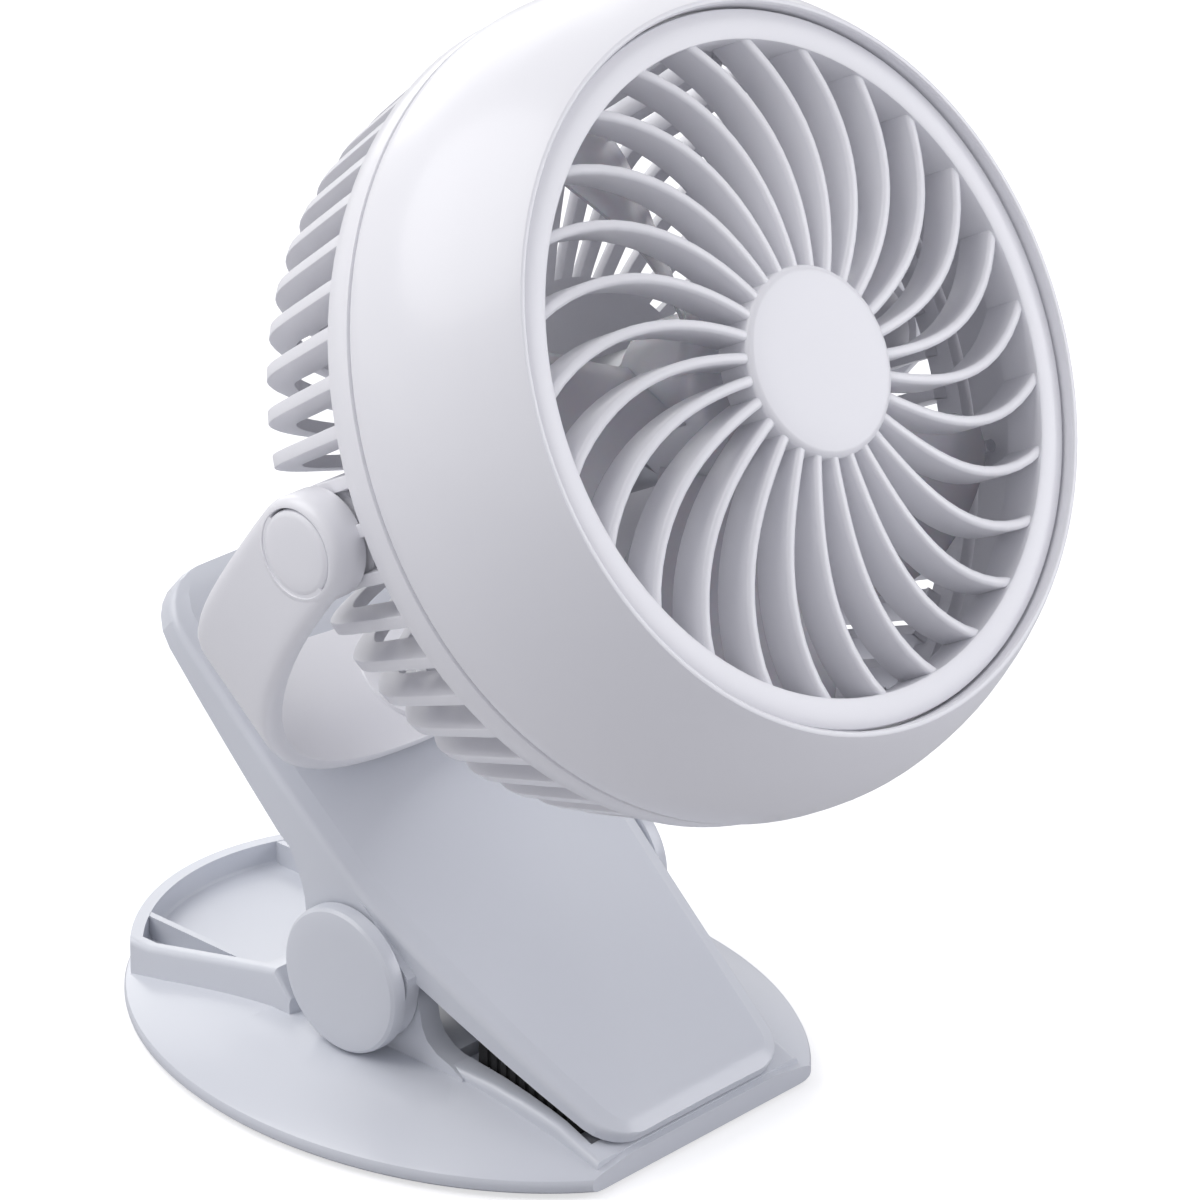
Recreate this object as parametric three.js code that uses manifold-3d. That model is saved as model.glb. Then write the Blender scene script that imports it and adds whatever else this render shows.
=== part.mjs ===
// Rechargeable clip fan, in millimetres, +Z up. The fan blows towards -Y.
// The origin lies on the table, under the hinge pin of the clip.
import * as THREE from "three";
import { mergeVertices } from "three/addons/utils/BufferGeometryUtils.js";
import Module from "manifold-3d";

const wasm = await Module();
wasm.setup();

// ---- Fits -------------------------------------------------------------------
const seatGap = 0.3; // between pieces that touch
const turnGap = 0.6; // between pieces that turn or slide past each other
const wall = 2.2; // moulded wall
const reach = 150; // of the boxes that cut, past the whole fan

// ---- Foot of the clip -------------------------------------------------------
const footHalfWidth = 55.6;
const footHalfLength = 70.7;
const footCentreY = 4;
const footFrontY = -56;
const footEdgeHeight = 3.4;
const footEdgeRound = 1.3;
const flangeSlope = 23; // degrees
const flangeTop = 11.2;
const padThickness = 1.1;
const padInset = 7;
const shellLift = 0.6; // underside of the shell above the table
const coverThickness = 1.8;
const coverInset = 3.4;

// ---- Raised body of the foot ------------------------------------------------
const bodyRearHalfWidth = 33.4;
const bodyFrontHalfWidth = 27;
const bodyWaistHalfWidth = 29.4;
const waistFrontY = -17;
const waistRearY = 19;
const rimHeight = flangeTop;
const rimRampY = 54;
const shoulderHeight = 19;
const shoulderY = 20;
const trayFloor = 6.4;
const trayWall = 2.4;
const trayFrontY = 24;
const jawRearHeight = 13.4;
const jawRearY = -12;
const jawMidHeight = 8.6;
const jawMidY = -45;
const jawTipHeight = 4.9;
const jawLip = 2.6; // width of the lips beside the rubber
const jawFrontLip = 5;
const jawPadThickness = 1.6;
const jawPadRearY = -24;

// ---- Hinge ------------------------------------------------------------------
const hingeHeight = 25.2;
const pinRadius = 2.4;
const pinHalfLength = 34.3;
const lugRadius = 6.3;
const lugInner = 24.6; // the two lugs of the foot stand from here to the waist
const cheekRadius = 13.3;
const cheekThickness = 3.2;
const capRadius = 14.1;
const capThickness = 3.6;
const barrelRadius = 8.4; // inner knuckles of the arm round the pin
const barrelInnerX = 13.4;
const springWire = 0.85; // radius
const springRadius = 3.6;
const springTurns = 6;

// ---- Arm --------------------------------------------------------------------
const armTipY = -56;
const armTipHeight = 8.4; // of the front edge of the face
const armChordAngle = 36.1; // degrees from level, tip to top
const armLength = 132.5;
const armHalfTurn = 6; // degrees the face turns on each side of its chord
const armHalfWidth = 33;
const armTipHalfWidth = 22.8;
const armTaperLength = armLength * 0.47;
const armTipThickness = 2.6;
const armRootThickness = 9.6;
const armTopThickness = 4.6;
const armThickestAt = armLength * 0.606;
const armTipCorner = 9;
const armTopCorner = 11;
const armEdgeRound = 2.2;
const armCrown = 1.2;
const armWall = 1.9;
const armLidFrom = 16; // along the chord
const armLidTo = armLength - 5;
const armLidThickness = 1.8;
const batteryLength = 34;
const batteryWidth = 46;
const batteryThickness = 5.6;
const batteryY = 3;
const armScrewAcross = 21;
const screwRadius = 1.2;
const screwHeadRadius = 2.3;
const screwHeadHeight = 0.8;

// ---- Widest circle of the head, at the rear seam of its housing ---------------
const seamRadius = 72.5;
const seamAt = 17.6; // ahead of the tilt axis

// ---- Yoke -------------------------------------------------------------------
const swivelAt = armLength - 36.3; // along the chord, from the tip
const yokeInnerHalf = seamRadius + 1.3;
const yokeThickness = 3.4;
const yokeInnerDepth = seamRadius + 8.9; // leaves the head room to tilt
const yokeBottomThickness = 3.8;
const swivelBoss = 0.5; // above the crown of the arm
const swivelWasherThickness = 0.5;
const washerUnder = armCrown + swivelBoss + seatGap; // above the face of the arm
const washerTop = washerUnder + swivelWasherThickness;
const yokeBottom = yokeInnerDepth + yokeBottomThickness;
const pivotReach = yokeBottom + seatGap + washerTop; // tilt pivots above the face of the arm
const yokeLegHalf = 9.5; // half width of the band at the pivots
const yokeBandHalf = 13; // half width of the band at the bottom
const yokeBossInner = seamRadius - 2.7;
const swivelRadius = 12;
const swivelBoreRadius = 3;
const swivelHeadRadius = 5.4;
const yokeFootRadius = 10;
const tiltScrewRadius = 1.6;
const tiltScrewEnd = seamRadius - 11.5;
const tiltHeadFrom = yokeBossInner + 4.8;
const tiltCapRadius = 7.4;
const tiltCapFace = yokeInnerHalf + yokeThickness + 0.2;
const washerRadius = 7;
const washerThickness = 0.8;

// ---- Head -------------------------------------------------------------------
const headTilt = 28.4; // degrees, upwards
const mouthRadius = seamRadius - 10.8; // bore that takes the front grille
const mouthAt = 50;
const grilleFace = mouthAt - 2; // flat ring of the grille
const grilleOpening = mouthRadius - 5.8;
const grilleDepth = 8;
const hubRadius = 16.5;
const hubFace = grilleFace + 4.4;
const ribCount = 27;
const ribWidth = 1.9;
const bandFront = seamAt - 0.4;
const bandRear = bandFront - 6;
const bandRadius = seamRadius - 0.1;
const bandInner = seamRadius - 4.5;
const finCount = 54;
const finWidth = 2.2;
const finDepth = 6.5;
const rearHubRadius = 25;
const rearHubBack = -23.5;
const rearHubFront = -3;
const pivotBossRadius = 9.4;
const pivotBossFace = yokeBossInner - 1.4;
const pivotBossInner = seamRadius - 14.5;
const ledgeRadius = mouthRadius - 1.9; // seat of the front grille in the housing
const ledgeAt = mouthAt - 5;
const ribStart = 2.4; // degrees
const ribSweepEnd = 19.8; // degrees, from hub to ring
const finEndDepth = 3;
const rearCoverSeat = rearHubBack + 1.9;
const boardRadius = rearHubRadius - 4;
const boardBack = rearHubBack + 4.9;
const boardFront = boardBack + 1.2;
const boardPostAt = boardRadius - 3;
const boardPostRadius = 1.6;
const boardPosts = [30, 150, 270].map((angle) => (angle * Math.PI) / 180);
// The screws of the case stand midway between two fins.
const caseScrewAngles = [14.5, 32.5, 50.5].map((place) => (place / finCount) * 2 * Math.PI);
const casePostAt = seamRadius - 4.7;
const casePostRadius = 3.2;
const casePostEnd = seamAt + 12.4;

// ---- Motor and rotor --------------------------------------------------------
const motorRadius = 12;
const motorLength = 17;
const shaftRadius = 1;
const rotorHubRadius = 15;
const rotorHubFront = 36;
const rotorHubBack = 18;
const bladeCount = 5;
const bladeTip = mouthRadius - 2.7;
const bladePitch = 32; // degrees
const bladeThickness = 1.5;
const bladeRootChord = 17;
const bladeChord = 38;
const bladeSweep = 14; // degrees
const bladeMiddle = 26;

// ---- Controls ---------------------------------------------------------------
const buttonRadius = 4.6;
const buttonAt = 9; // above the centre of the rear hub
const buttonProud = 1.4;
const portWidth = 9;
const portHeight = 3.4;
const lensRadius = 1.3;

const tau = Math.PI * 2;
const rad = THREE.MathUtils.degToRad;
const v2 = (x, y) => new THREE.Vector2(x, y);
const v3 = (x, y, z) => new THREE.Vector3(x, y, z);
const lerp = THREE.MathUtils.lerp;
const smooth = (x, a, b) => THREE.MathUtils.smoothstep(x, a, b);

// ---- Solids -----------------------------------------------------------------
function solid(shape) {
  if (!shape.isBufferGeometry) {
    return shape;
  }
  const bare = shape.index ? shape.toNonIndexed() : shape.clone();
  bare.deleteAttribute("normal");
  bare.deleteAttribute("uv");
  const merged = mergeVertices(bare, 1e-4);
  const vertProperties = merged.attributes.position.array;
  const triVerts = new Uint32Array(merged.index.array);
  const made = new wasm.Manifold(new wasm.Mesh({ numProp: 3, vertProperties, triVerts }));
  if (made.volume() > 0) {
    return made;
  }
  triVerts.reverse();
  return new wasm.Manifold(new wasm.Mesh({ numProp: 3, vertProperties, triVerts }));
}

function geometryOf(made) {
  const mesh = solid(made).getMesh();
  const geometry = new THREE.BufferGeometry();
  geometry.setAttribute("position", new THREE.BufferAttribute(mesh.vertProperties, 3));
  geometry.setIndex(new THREE.BufferAttribute(mesh.triVerts, 1));
  geometry.computeVertexNormals();
  return geometry;
}

const join = (...shapes) => shapes.map(solid).reduce((a, b) => a.add(b));
const cut = (body, ...tools) => tools.map(solid).reduce((a, b) => a.subtract(b), solid(body));
const common = (a, b) => solid(a).intersect(solid(b));

function extrude(shape, depth, bevel = 0) {
  const geometry = new THREE.ExtrudeGeometry(shape, {
    depth: depth - 2 * bevel,
    bevelEnabled: bevel > 0,
    bevelThickness: bevel,
    bevelSize: bevel,
    bevelOffset: -bevel,
    bevelSegments: 2,
    curveSegments: 10,
  });
  return geometry.translate(0, 0, bevel);
}

// A flat shape in the YZ plane, run along X.
function alongX(shape, from, to, bevel) {
  const turn = new THREE.Matrix4().makeBasis(v3(0, 1, 0), v3(0, 0, 1), v3(1, 0, 0));
  return extrude(shape, to - from, bevel).translate(0, 0, from).applyMatrix4(turn);
}

// A flat shape in the XY plane, run along Z.
function alongZ(shape, from, to, bevel) {
  return extrude(shape, to - from, bevel).translate(0, 0, from);
}

function polygon(points) {
  return new THREE.Shape(points.map(([x, y]) => v2(x, y)));
}

// A profile of (radius, height) pairs, turned about Z. It starts and ends on the axis or closes.
function turned(profile, segments = 40) {
  const geometry = new THREE.LatheGeometry(profile.map(([r, z]) => v2(r, z)), segments);
  return geometry.rotateX(Math.PI / 2);
}

function disc(radius, from, to, segments = 32) {
  return turned([[0, from], [radius, from], [radius, to], [0, to]], segments);
}

function tube(outer, inner, from, to, segments = 32) {
  return turned([[inner, from], [outer, from], [outer, to], [inner, to], [inner, from]], segments);
}

// Turns a shape made along Z so that it lies along X, and moves it to the point (y, z).
function ontoX(shape, y = 0, z = 0) {
  return shape.rotateY(Math.PI / 2).translate(0, y, z);
}

function box(x0, x1, y0, y1, z0, z1) {
  const geometry = new THREE.BoxGeometry(x1 - x0, y1 - y0, z1 - z0);
  return geometry.translate((x0 + x1) / 2, (y0 + y1) / 2, (z0 + z1) / 2);
}

// A skin over rings of points, each ring going the same way round, closed at both ends.
function loft(rings) {
  const size = rings[0].length;
  const index = [];
  for (let i = 0; i + 1 < rings.length; i += 1) {
    for (let j = 0; j < size; j += 1) {
      const a = i * size + j;
      const b = i * size + ((j + 1) % size);
      index.push(a, b, b + size, a, b + size, a + size);
    }
  }
  const last = (rings.length - 1) * size;
  for (let j = 1; j + 1 < size; j += 1) {
    index.push(0, j + 1, j, last, last + j, last + j + 1);
  }
  const geometry = new THREE.BufferGeometry().setFromPoints(rings.flat());
  geometry.setIndex(index);
  return geometry;
}

// ---- Foot of the clip -------------------------------------------------------
function footOutline(inset, front = footFrontY + inset) {
  const across = footHalfWidth - inset;
  const along = footHalfLength - inset;
  const start = Math.asin((front - footCentreY) / along);
  const shape = new THREE.Shape();
  shape.absellipse(0, footCentreY, across, along, start, Math.PI - start, false);
  return shape;
}

// The sloping flange, its skin taken in by the given depth.
function flange(depth) {
  const edge = footHalfWidth - depth;
  const under = depth > 0 ? -1 : shellLift;
  const top = flangeTop - depth;
  const rise = flangeTop - footEdgeHeight;
  const shoulder = edge - footEdgeRound;
  const profile = [
    [0, under],
    [shoulder, under],
    [edge, Math.max(under, shellLift) + footEdgeRound * 0.6],
    [edge, footEdgeHeight - depth - footEdgeRound * 0.4],
    [shoulder, footEdgeHeight - depth + footEdgeRound * 0.3],
    [shoulder - rise / Math.tan(rad(flangeSlope)), top],
    [0, top],
  ];
  const stretch = (footHalfLength - depth) / (footHalfWidth - depth);
  return turned(profile, 48).scale(1, stretch, 1).translate(0, footCentreY, 0);
}

// Side view of the raised body, lowered by the given depth.
function bodySide(depth) {
  const rear = footCentreY + footHalfLength;
  const floor = depth > 0 ? -1 : shellLift;
  return polygon([
    [footFrontY - 1, floor],
    [rear, floor],
    [rear, rimHeight - depth],
    [rimRampY, rimHeight - depth],
    [shoulderY, shoulderHeight - depth],
    [waistRearY - 4, jawRearHeight - depth],
    [jawRearY, jawRearHeight - depth],
    [jawMidY, jawMidHeight - depth],
    [footFrontY - 1, jawTipHeight - depth],
  ]);
}

// Plan view of the raised body, its sides taken in by the given depth.
function bodyPlan(inset) {
  const rear = footCentreY + footHalfLength + 1;
  const half = [
    [bodyFrontHalfWidth - inset, footFrontY - 1],
    [bodyFrontHalfWidth - inset, jawMidY],
    [bodyWaistHalfWidth - inset, waistFrontY],
    [bodyWaistHalfWidth - inset, waistRearY],
    [bodyRearHalfWidth - inset, waistRearY + 4],
    [bodyRearHalfWidth - inset, rear],
  ];
  const mirrored = half.map(([x, y]) => [-x, y]).reverse();
  return polygon([...half, ...mirrored]);
}

function raisedBody(depth) {
  const block = common(
    alongX(bodySide(depth), -footHalfWidth, footHalfWidth),
    alongZ(bodyPlan(depth), -2, shoulderHeight + 5),
  );
  return common(block, alongZ(footOutline(depth + 1.2, footFrontY + depth), -2, shoulderHeight + 5));
}

function footLug(side) {
  const shape = new THREE.Shape();
  const root = jawRearHeight - 1;
  shape.moveTo(-lugRadius - 3, root);
  shape.lineTo(-lugRadius, hingeHeight);
  shape.absarc(0, hingeHeight, lugRadius, Math.PI, 0, true);
  shape.lineTo(lugRadius + 3, root);
  const from = side > 0 ? lugInner : -bodyWaistHalfWidth;
  const to = side > 0 ? bodyWaistHalfWidth : -lugInner;
  return cut(
    alongX(shape, from, to),
    ontoX(disc(pinRadius + seatGap, from - 1, to + 1, 20), 0, hingeHeight),
  );
}

// Finger tray behind the hinge, hollowed from above.
function trayHollow() {
  return common(
    alongZ(footOutline(trayWall + 1.2), trayFloor, shoulderHeight + 6),
    box(
      trayWall - bodyRearHalfWidth,
      bodyRearHalfWidth - trayWall,
      trayFrontY,
      footCentreY + footHalfLength,
      trayFloor,
      shoulderHeight + 6,
    ),
  );
}

function jawRecess() {
  const depth = jawPadThickness + seatGap;
  const side = polygon([
    [footFrontY + jawFrontLip, lerp(jawTipHeight, jawMidHeight, 0.4) - depth],
    [jawMidY, jawMidHeight - depth],
    [jawRearY - 6, jawRearHeight - depth - 0.9],
    [jawRearY - 6, shoulderHeight],
    [footFrontY + jawFrontLip, shoulderHeight],
  ]);
  const half = bodyFrontHalfWidth - jawLip;
  return alongX(side, -half, half);
}

// Across, along and the height up to which each boss of the cover's screws stands.
const footScrews = [
  [-21, -33, 7],
  [21, -33, 7],
  [-25, 56, trayFloor - 1],
  [25, 56, trayFloor - 1],
];
const coverUnder = padThickness + seatGap;
const coverTop = coverUnder + coverThickness;

function baseShell() {
  const front = box(-reach, reach, -reach, footFrontY, -reach, reach);
  const overJaw = common(
    alongX(
      polygon([
        [footFrontY - 2, jawTipHeight],
        [jawMidY, jawMidHeight],
        [jawRearY, jawRearHeight],
        [jawRearY, reach],
        [footFrontY - 2, reach],
      ]),
      -bodyFrontHalfWidth,
      bodyFrontHalfWidth,
    ),
    box(-reach, reach, -reach, jawRearY, 0, reach),
  );
  const outer = join(cut(flange(0), overJaw), raisedBody(0), footLug(-1), footLug(1));
  const hollow = join(flange(wall), raisedBody(wall));
  const floorKeep = box(-reach, reach, trayFrontY - wall, reach, trayFloor - wall, reach);
  const jawKeep = alongX(
    polygon([
      [footFrontY - 2, jawTipHeight - jawPadThickness - wall],
      [jawMidY, jawMidHeight - jawPadThickness - wall - 0.6],
      [jawRearY - 5, jawRearHeight - jawPadThickness - wall - 1],
      [jawRearY - 5, reach],
      [footFrontY - 2, reach],
    ]),
    -bodyFrontHalfWidth,
    bodyFrontHalfWidth,
  );
  const inside = cut(hollow, floorKeep, jawKeep, box(-reach, reach, -reach, footFrontY + wall, -reach, reach));
  const ledge = alongZ(footOutline(coverInset - seatGap), -2, coverTop + seatGap);
  const wells = [-1, 1].map((side) => {
    const from = side > 0 ? bodyWaistHalfWidth + 0.01 : -footHalfWidth;
    const to = side > 0 ? footHalfWidth : -bodyWaistHalfWidth - 0.01;
    return ontoX(disc(capRadius + turnGap, from, to, 40), 0, hingeHeight);
  });
  const bosses = footScrews.map(([x, y, top]) =>
    disc(3, coverTop + seatGap, top, 14).translate(x, y, 0),
  );
  const bores = footScrews.map(([x, y]) =>
    disc(screwRadius + seatGap, coverTop, coverTop + 2, 10).translate(x, y, 0),
  );
  const skin = cut(outer, front, inside, ledge, trayHollow(), jawRecess(), ...wells);
  return cut(join(skin, ...bosses), ...bores);
}

function baseCover() {
  const holes = footScrews.map(([x, y]) =>
    join(
      disc(screwRadius + seatGap, coverUnder - 1, coverTop + 1, 10),
      disc(screwHeadRadius + seatGap, coverUnder - 1, coverUnder + screwHeadHeight + seatGap, 12),
    ),
  );
  const placed = footScrews.map(([x, y], i) => geometryOf(holes[i]).translate(x, y, 0));
  return cut(alongZ(footOutline(coverInset), coverUnder, coverTop), ...placed);
}

// A pan-head screw that points up, its head standing at the given height.
function screw(headFrom, length) {
  const head = headFrom + screwHeadHeight;
  return turned(
    [
      [0, headFrom],
      [screwHeadRadius * 0.7, headFrom],
      [screwHeadRadius, headFrom + 0.3],
      [screwHeadRadius, head],
      [screwRadius, head],
      [screwRadius, head + length],
      [0, head + length],
    ],
    10,
  );
}

function footPad() {
  return alongZ(footOutline(padInset), 0, padThickness, 0.25);
}

function battery() {
  const shape = polygon([
    [-batteryWidth / 2, -batteryLength / 2],
    [batteryWidth / 2, -batteryLength / 2],
    [batteryWidth / 2, batteryLength / 2],
    [-batteryWidth / 2, batteryLength / 2],
  ]);
  const under = coverTop + seatGap;
  return alongZ(shape, under, under + batteryThickness, 0.8).translate(0, batteryY, 0);
}

// Height of the rubber on the lower jaw.
function jawPadTop(y) {
  const t = (y - jawMidY) / (jawRearY - jawMidY);
  return lerp(jawMidHeight, jawRearHeight, t) - 0.1;
}

function lowerJawPad() {
  const half = bodyFrontHalfWidth - jawLip - seatGap;
  const front = jawMidY - 2;
  const lift = (y) => jawPadTop(y) - jawPadThickness + 0.2;
  const side = [[front, lift(front)], [jawPadRearY, lift(jawPadRearY)]];
  const teeth = 7;
  for (let i = teeth; i >= 0; i -= 1) {
    const y = lerp(front, jawPadRearY, i / teeth);
    const ridge = (jawPadRearY - front) / teeth / 2;
    side.push([y, jawPadTop(y) - 0.5]);
    if (i > 0) {
      side.push([y - ridge, jawPadTop(y - ridge)]);
    }
  }
  return alongX(polygon(side), -half, half);
}

function hingePin() {
  return ontoX(disc(pinRadius, -pinHalfLength, pinHalfLength, 20), 0, hingeHeight);
}

// ---- Arm --------------------------------------------------------------------
const chord = rad(armChordAngle);
const halfTurn = rad(armHalfTurn);
const armBend = armLength / (2 * Math.sin(halfTurn));

// Point and direction of the face at a distance along its chord.
function armFace(s) {
  const off = s - armLength / 2;
  const sag = Math.sqrt(armBend ** 2 - off ** 2) - armBend * Math.cos(halfTurn);
  const angle = chord + Math.asin(off / armBend);
  return {
    y: armTipY + s * Math.cos(chord) + sag * Math.sin(chord),
    z: armTipHeight + s * Math.sin(chord) - sag * Math.cos(chord),
    angle,
  };
}

function armPoint(x, s, h) {
  const { y, z, angle } = armFace(s);
  return v3(x, y - h * Math.sin(angle), z + h * Math.cos(angle));
}

function armThickness(s) {
  if (s < armThickestAt) {
    return lerp(armTipThickness, armRootThickness, (s / armThickestAt) ** 0.9);
  }
  return lerp(armRootThickness, armTopThickness, (s - armThickestAt) / (armLength - armThickestAt));
}

const cornerCut = (radius, distance) =>
  distance < radius ? radius - Math.sqrt(radius ** 2 - (radius - distance) ** 2) : 0;

function armWidth(s) {
  const taper = Math.min(s / armTaperLength, 1) ** 0.8;
  const plain = lerp(armTipHalfWidth, armHalfWidth, taper);
  return plain - cornerCut(armTipCorner, s) - cornerCut(armTopCorner, armLength - s);
}

function armRing(s) {
  const w = armWidth(s);
  const t = armThickness(s);
  const r = Math.min(armEdgeRound, t * 0.6);
  const half = [
    [0, armCrown],
    [w - r, 0],
    [w - r * 0.3, -r * 0.3],
    [w, -r],
    [w, -t],
  ];
  const left = half.slice(1).map(([x, h]) => [-x, h]).reverse();
  return [...left, ...half].map(([x, h]) => armPoint(x, s, h));
}

const armStations = [
  ...[0, 0.08, 0.29, 0.6, 1].map((t) => t * armTipCorner),
  ...[0.18, 0.32, 0.46, 0.6, 0.77].map((t) => t * armLength),
  ...[1, 0.55, 0.18, 0].map((t) => armLength - t * armTopCorner),
];

// A slab that follows the arm, between two depths under its face.
function armSlab(from, to, sideWall, upper, lower) {
  const stations = [from, ...armStations.filter((s) => s > from && s < to), to];
  return loft(
    stations.map((s) => {
      const w = armWidth(s) - sideWall;
      const top = upper(s);
      const bottom = lower(s);
      return [[-w, bottom], [-w, top], [w, top], [w, bottom]].map(([x, h]) => armPoint(x, s, h));
    }),
  );
}

function cheek(side) {
  const shape = new THREE.Shape();
  const rear = armPoint(0, armThickestAt + 4, -armRootThickness * 0.8);
  const front = armPoint(0, armThickestAt * 0.58, -armRootThickness * 0.5);
  const inside = armPoint(0, armThickestAt * 0.75, -armRootThickness * 0.4);
  shape.moveTo(front.y, front.z);
  shape.quadraticCurveTo(-cheekRadius - 1, hingeHeight + 4, -cheekRadius, hingeHeight - 1);
  shape.absarc(0, hingeHeight, cheekRadius, Math.PI, rad(22), false);
  shape.quadraticCurveTo(cheekRadius - 3.2, hingeHeight + 12.5, rear.y, rear.z);
  shape.lineTo(inside.y, inside.z + 2);
  const from = side > 0 ? armHalfWidth - cheekThickness : -armHalfWidth;
  const to = side > 0 ? armHalfWidth : cheekThickness - armHalfWidth;
  return cut(
    alongX(shape, from, to),
    ontoX(disc(pinRadius + turnGap / 2, from - 1, to + 1, 20), 0, hingeHeight),
  );
}

// The fan head turns about an axis square to the face.
const swivel = armFace(swivelAt);
const swivelTurn = swivel.angle;

// Puts a shape made round +Z at the face of the arm, on the swivel's axis.
function ontoSwivel(shape) {
  return shape.rotateX(swivelTurn).translate(0, swivel.y, swivel.z);
}

// Across the arm and along its chord.
const armScrews = [armLength * 0.33, armLength - 17].flatMap((s) => [
  [-armScrewAcross, s],
  [armScrewAcross, s],
]);

// Puts a shape made round +Z, from the back of the arm, at a screw's place.
function ontoArmBack(shape, x, s) {
  const p = armPoint(x, s, -armThickness(s));
  return shape.rotateX(armFace(s).angle).translate(p.x, p.y, p.z);
}

function armShell() {
  const outer = join(loft(armStations.map(armRing)), cheek(-1), cheek(1));
  const hollow = armSlab(armLidFrom, armLidTo, cheekThickness, () => -armWall, (s) => -armThickness(s) - 3);
  const bosses = armScrews.map(([x, s]) => {
    const height = armThickness(s) - armWall * 0.5;
    return ontoArmBack(tube(2.9, screwRadius + seatGap, armLidThickness + seatGap, height, 10), x, s);
  });
  const boss = ontoSwivel(disc(swivelRadius, -armWall, armCrown + swivelBoss, 36));
  const nut = ontoSwivel(disc(swivelBoreRadius * 2, -5.6, 0, 20));
  const pocket = ontoSwivel(disc(swivelBoreRadius, -12, 12, 24));
  return cut(join(cut(outer, hollow), ...bosses, boss, nut), pocket);
}

function armLid() {
  const plate = armSlab(
    armLidFrom + seatGap,
    armLidTo - seatGap,
    cheekThickness + seatGap,
    (s) => armLidThickness - armThickness(s),
    (s) => -armThickness(s),
  );
  const knuckles = [-1, 1].flatMap((side) => {
    const from = side > 0 ? barrelInnerX : seatGap * 2 - lugInner;
    const to = side > 0 ? lugInner - seatGap * 2 : -barrelInnerX;
    const [root, crest] = [0.74, 0.97].map((share) => {
      const s = share * armThickestAt;
      return armPoint(0, s, armLidThickness / 2 - armThickness(s));
    });
    const web = polygon([
      [-barrelRadius * 0.9, hingeHeight + 2],
      [barrelRadius * 0.9, hingeHeight + 2],
      [crest.y, crest.z],
      [root.y, root.z],
    ]);
    return [alongX(web, from, to), ontoX(disc(barrelRadius, from, to, 32), 0, hingeHeight)];
  });
  const bore = ontoX(disc(pinRadius + turnGap / 2, -pinHalfLength, pinHalfLength, 20), 0, hingeHeight);
  const holes = armScrews.map(([x, s]) =>
    ontoArmBack(
      geometryOf(
        join(
          disc(screwRadius + seatGap, -2, 6, 10),
          disc(screwHeadRadius + seatGap, -2, screwHeadHeight, 12),
        ),
      ),
      x,
      s,
    ),
  );
  return cut(join(plate, ...knuckles), bore, ...holes);
}

function armScrew(x, s) {
  return ontoArmBack(screw(-seatGap, armThickness(s) - armWall - screwHeadHeight), x, s);
}

// Rubber wedge under the tip of the arm, facing the pad of the foot.
function upperJawPad() {
  const half = armTipHalfWidth - 1.2;
  const back = (s) => armPoint(0, s, -armThickness(s) - seatGap);
  const front = back(9);
  const rear = [back(20), back(27)];
  const beyond = back(33);
  const share = (jawPadRearY - rear[1].y) / (beyond.y - rear[1].y);
  const low = (y) => jawPadTop(y) + turnGap;
  const side = [
    [front.y, Math.max(low(front.y), front.z - 1)],
    [jawPadRearY, low(jawPadRearY)],
    [jawPadRearY, lerp(rear[1].z, beyond.z, share) - 0.1],
    ...rear.reverse().map((p) => [p.y, p.z]),
    [front.y, front.z],
  ];
  return alongX(polygon(side), -half, half);
}

function hingeCap(side) {
  const inner = armHalfWidth + seatGap;
  const outer = inner + capThickness;
  const profile = [
    [0, pinHalfLength + seatGap],
    [pinRadius + seatGap, pinHalfLength + seatGap],
    [pinRadius + seatGap, inner],
    [capRadius, inner],
    [capRadius, outer - 1],
    [capRadius - 1.2, outer],
    [0, outer + 0.35],
  ];
  const made = turned(profile, 36);
  return side > 0 ? ontoX(made, 0, hingeHeight) : ontoX(made.rotateX(Math.PI), 0, hingeHeight);
}

class Helix extends THREE.Curve {
  getPoint(t, target = v3(0, 0, 0)) {
    const angle = t * springTurns * tau;
    const length = springTurns * (springWire * 2 + 0.7);
    const x = (t - 0.5) * length;
    const lead = springRadius;
    return target.set(x, lead * Math.cos(angle), hingeHeight + lead * Math.sin(angle));
  }
}

function circle(radius, sides) {
  const shape = new THREE.Shape();
  for (let i = 0; i < sides; i += 1) {
    const angle = (i / sides) * tau;
    const x = radius * Math.cos(angle);
    const y = radius * Math.sin(angle);
    if (i === 0) {
      shape.moveTo(x, y);
    } else {
      shape.lineTo(x, y);
    }
  }
  return shape;
}

function torsionSpring() {
  return new THREE.ExtrudeGeometry(circle(springWire, 5), {
    steps: springTurns * 10,
    bevelEnabled: false,
    extrudePath: new Helix(),
  });
}

// ---- Yoke, made round its tilt axis, +Z away from the arm ---------------------
const yokeOuterHalf = yokeInnerHalf + yokeThickness;

// Section of the band at an angle round its ellipse, 0 and 180 at the pivots.
function yokeRing(angle) {
  const w = lerp(yokeLegHalf, yokeBandHalf, smooth(Math.sin(angle), 0.1, 0.95));
  const point = (depth, y) =>
    v3(
      (yokeInnerHalf + depth * yokeThickness) * Math.cos(angle),
      y,
      -(yokeInnerDepth + depth * yokeBottomThickness) * Math.sin(angle),
    );
  return [
    point(0, -w),
    point(0, w),
    point(0.6, w),
    point(0.92, w - 0.7),
    point(1, w - 2),
    point(1, 2 - w),
    point(0.92, 0.7 - w),
    point(0.6, -w),
  ];
}

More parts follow.
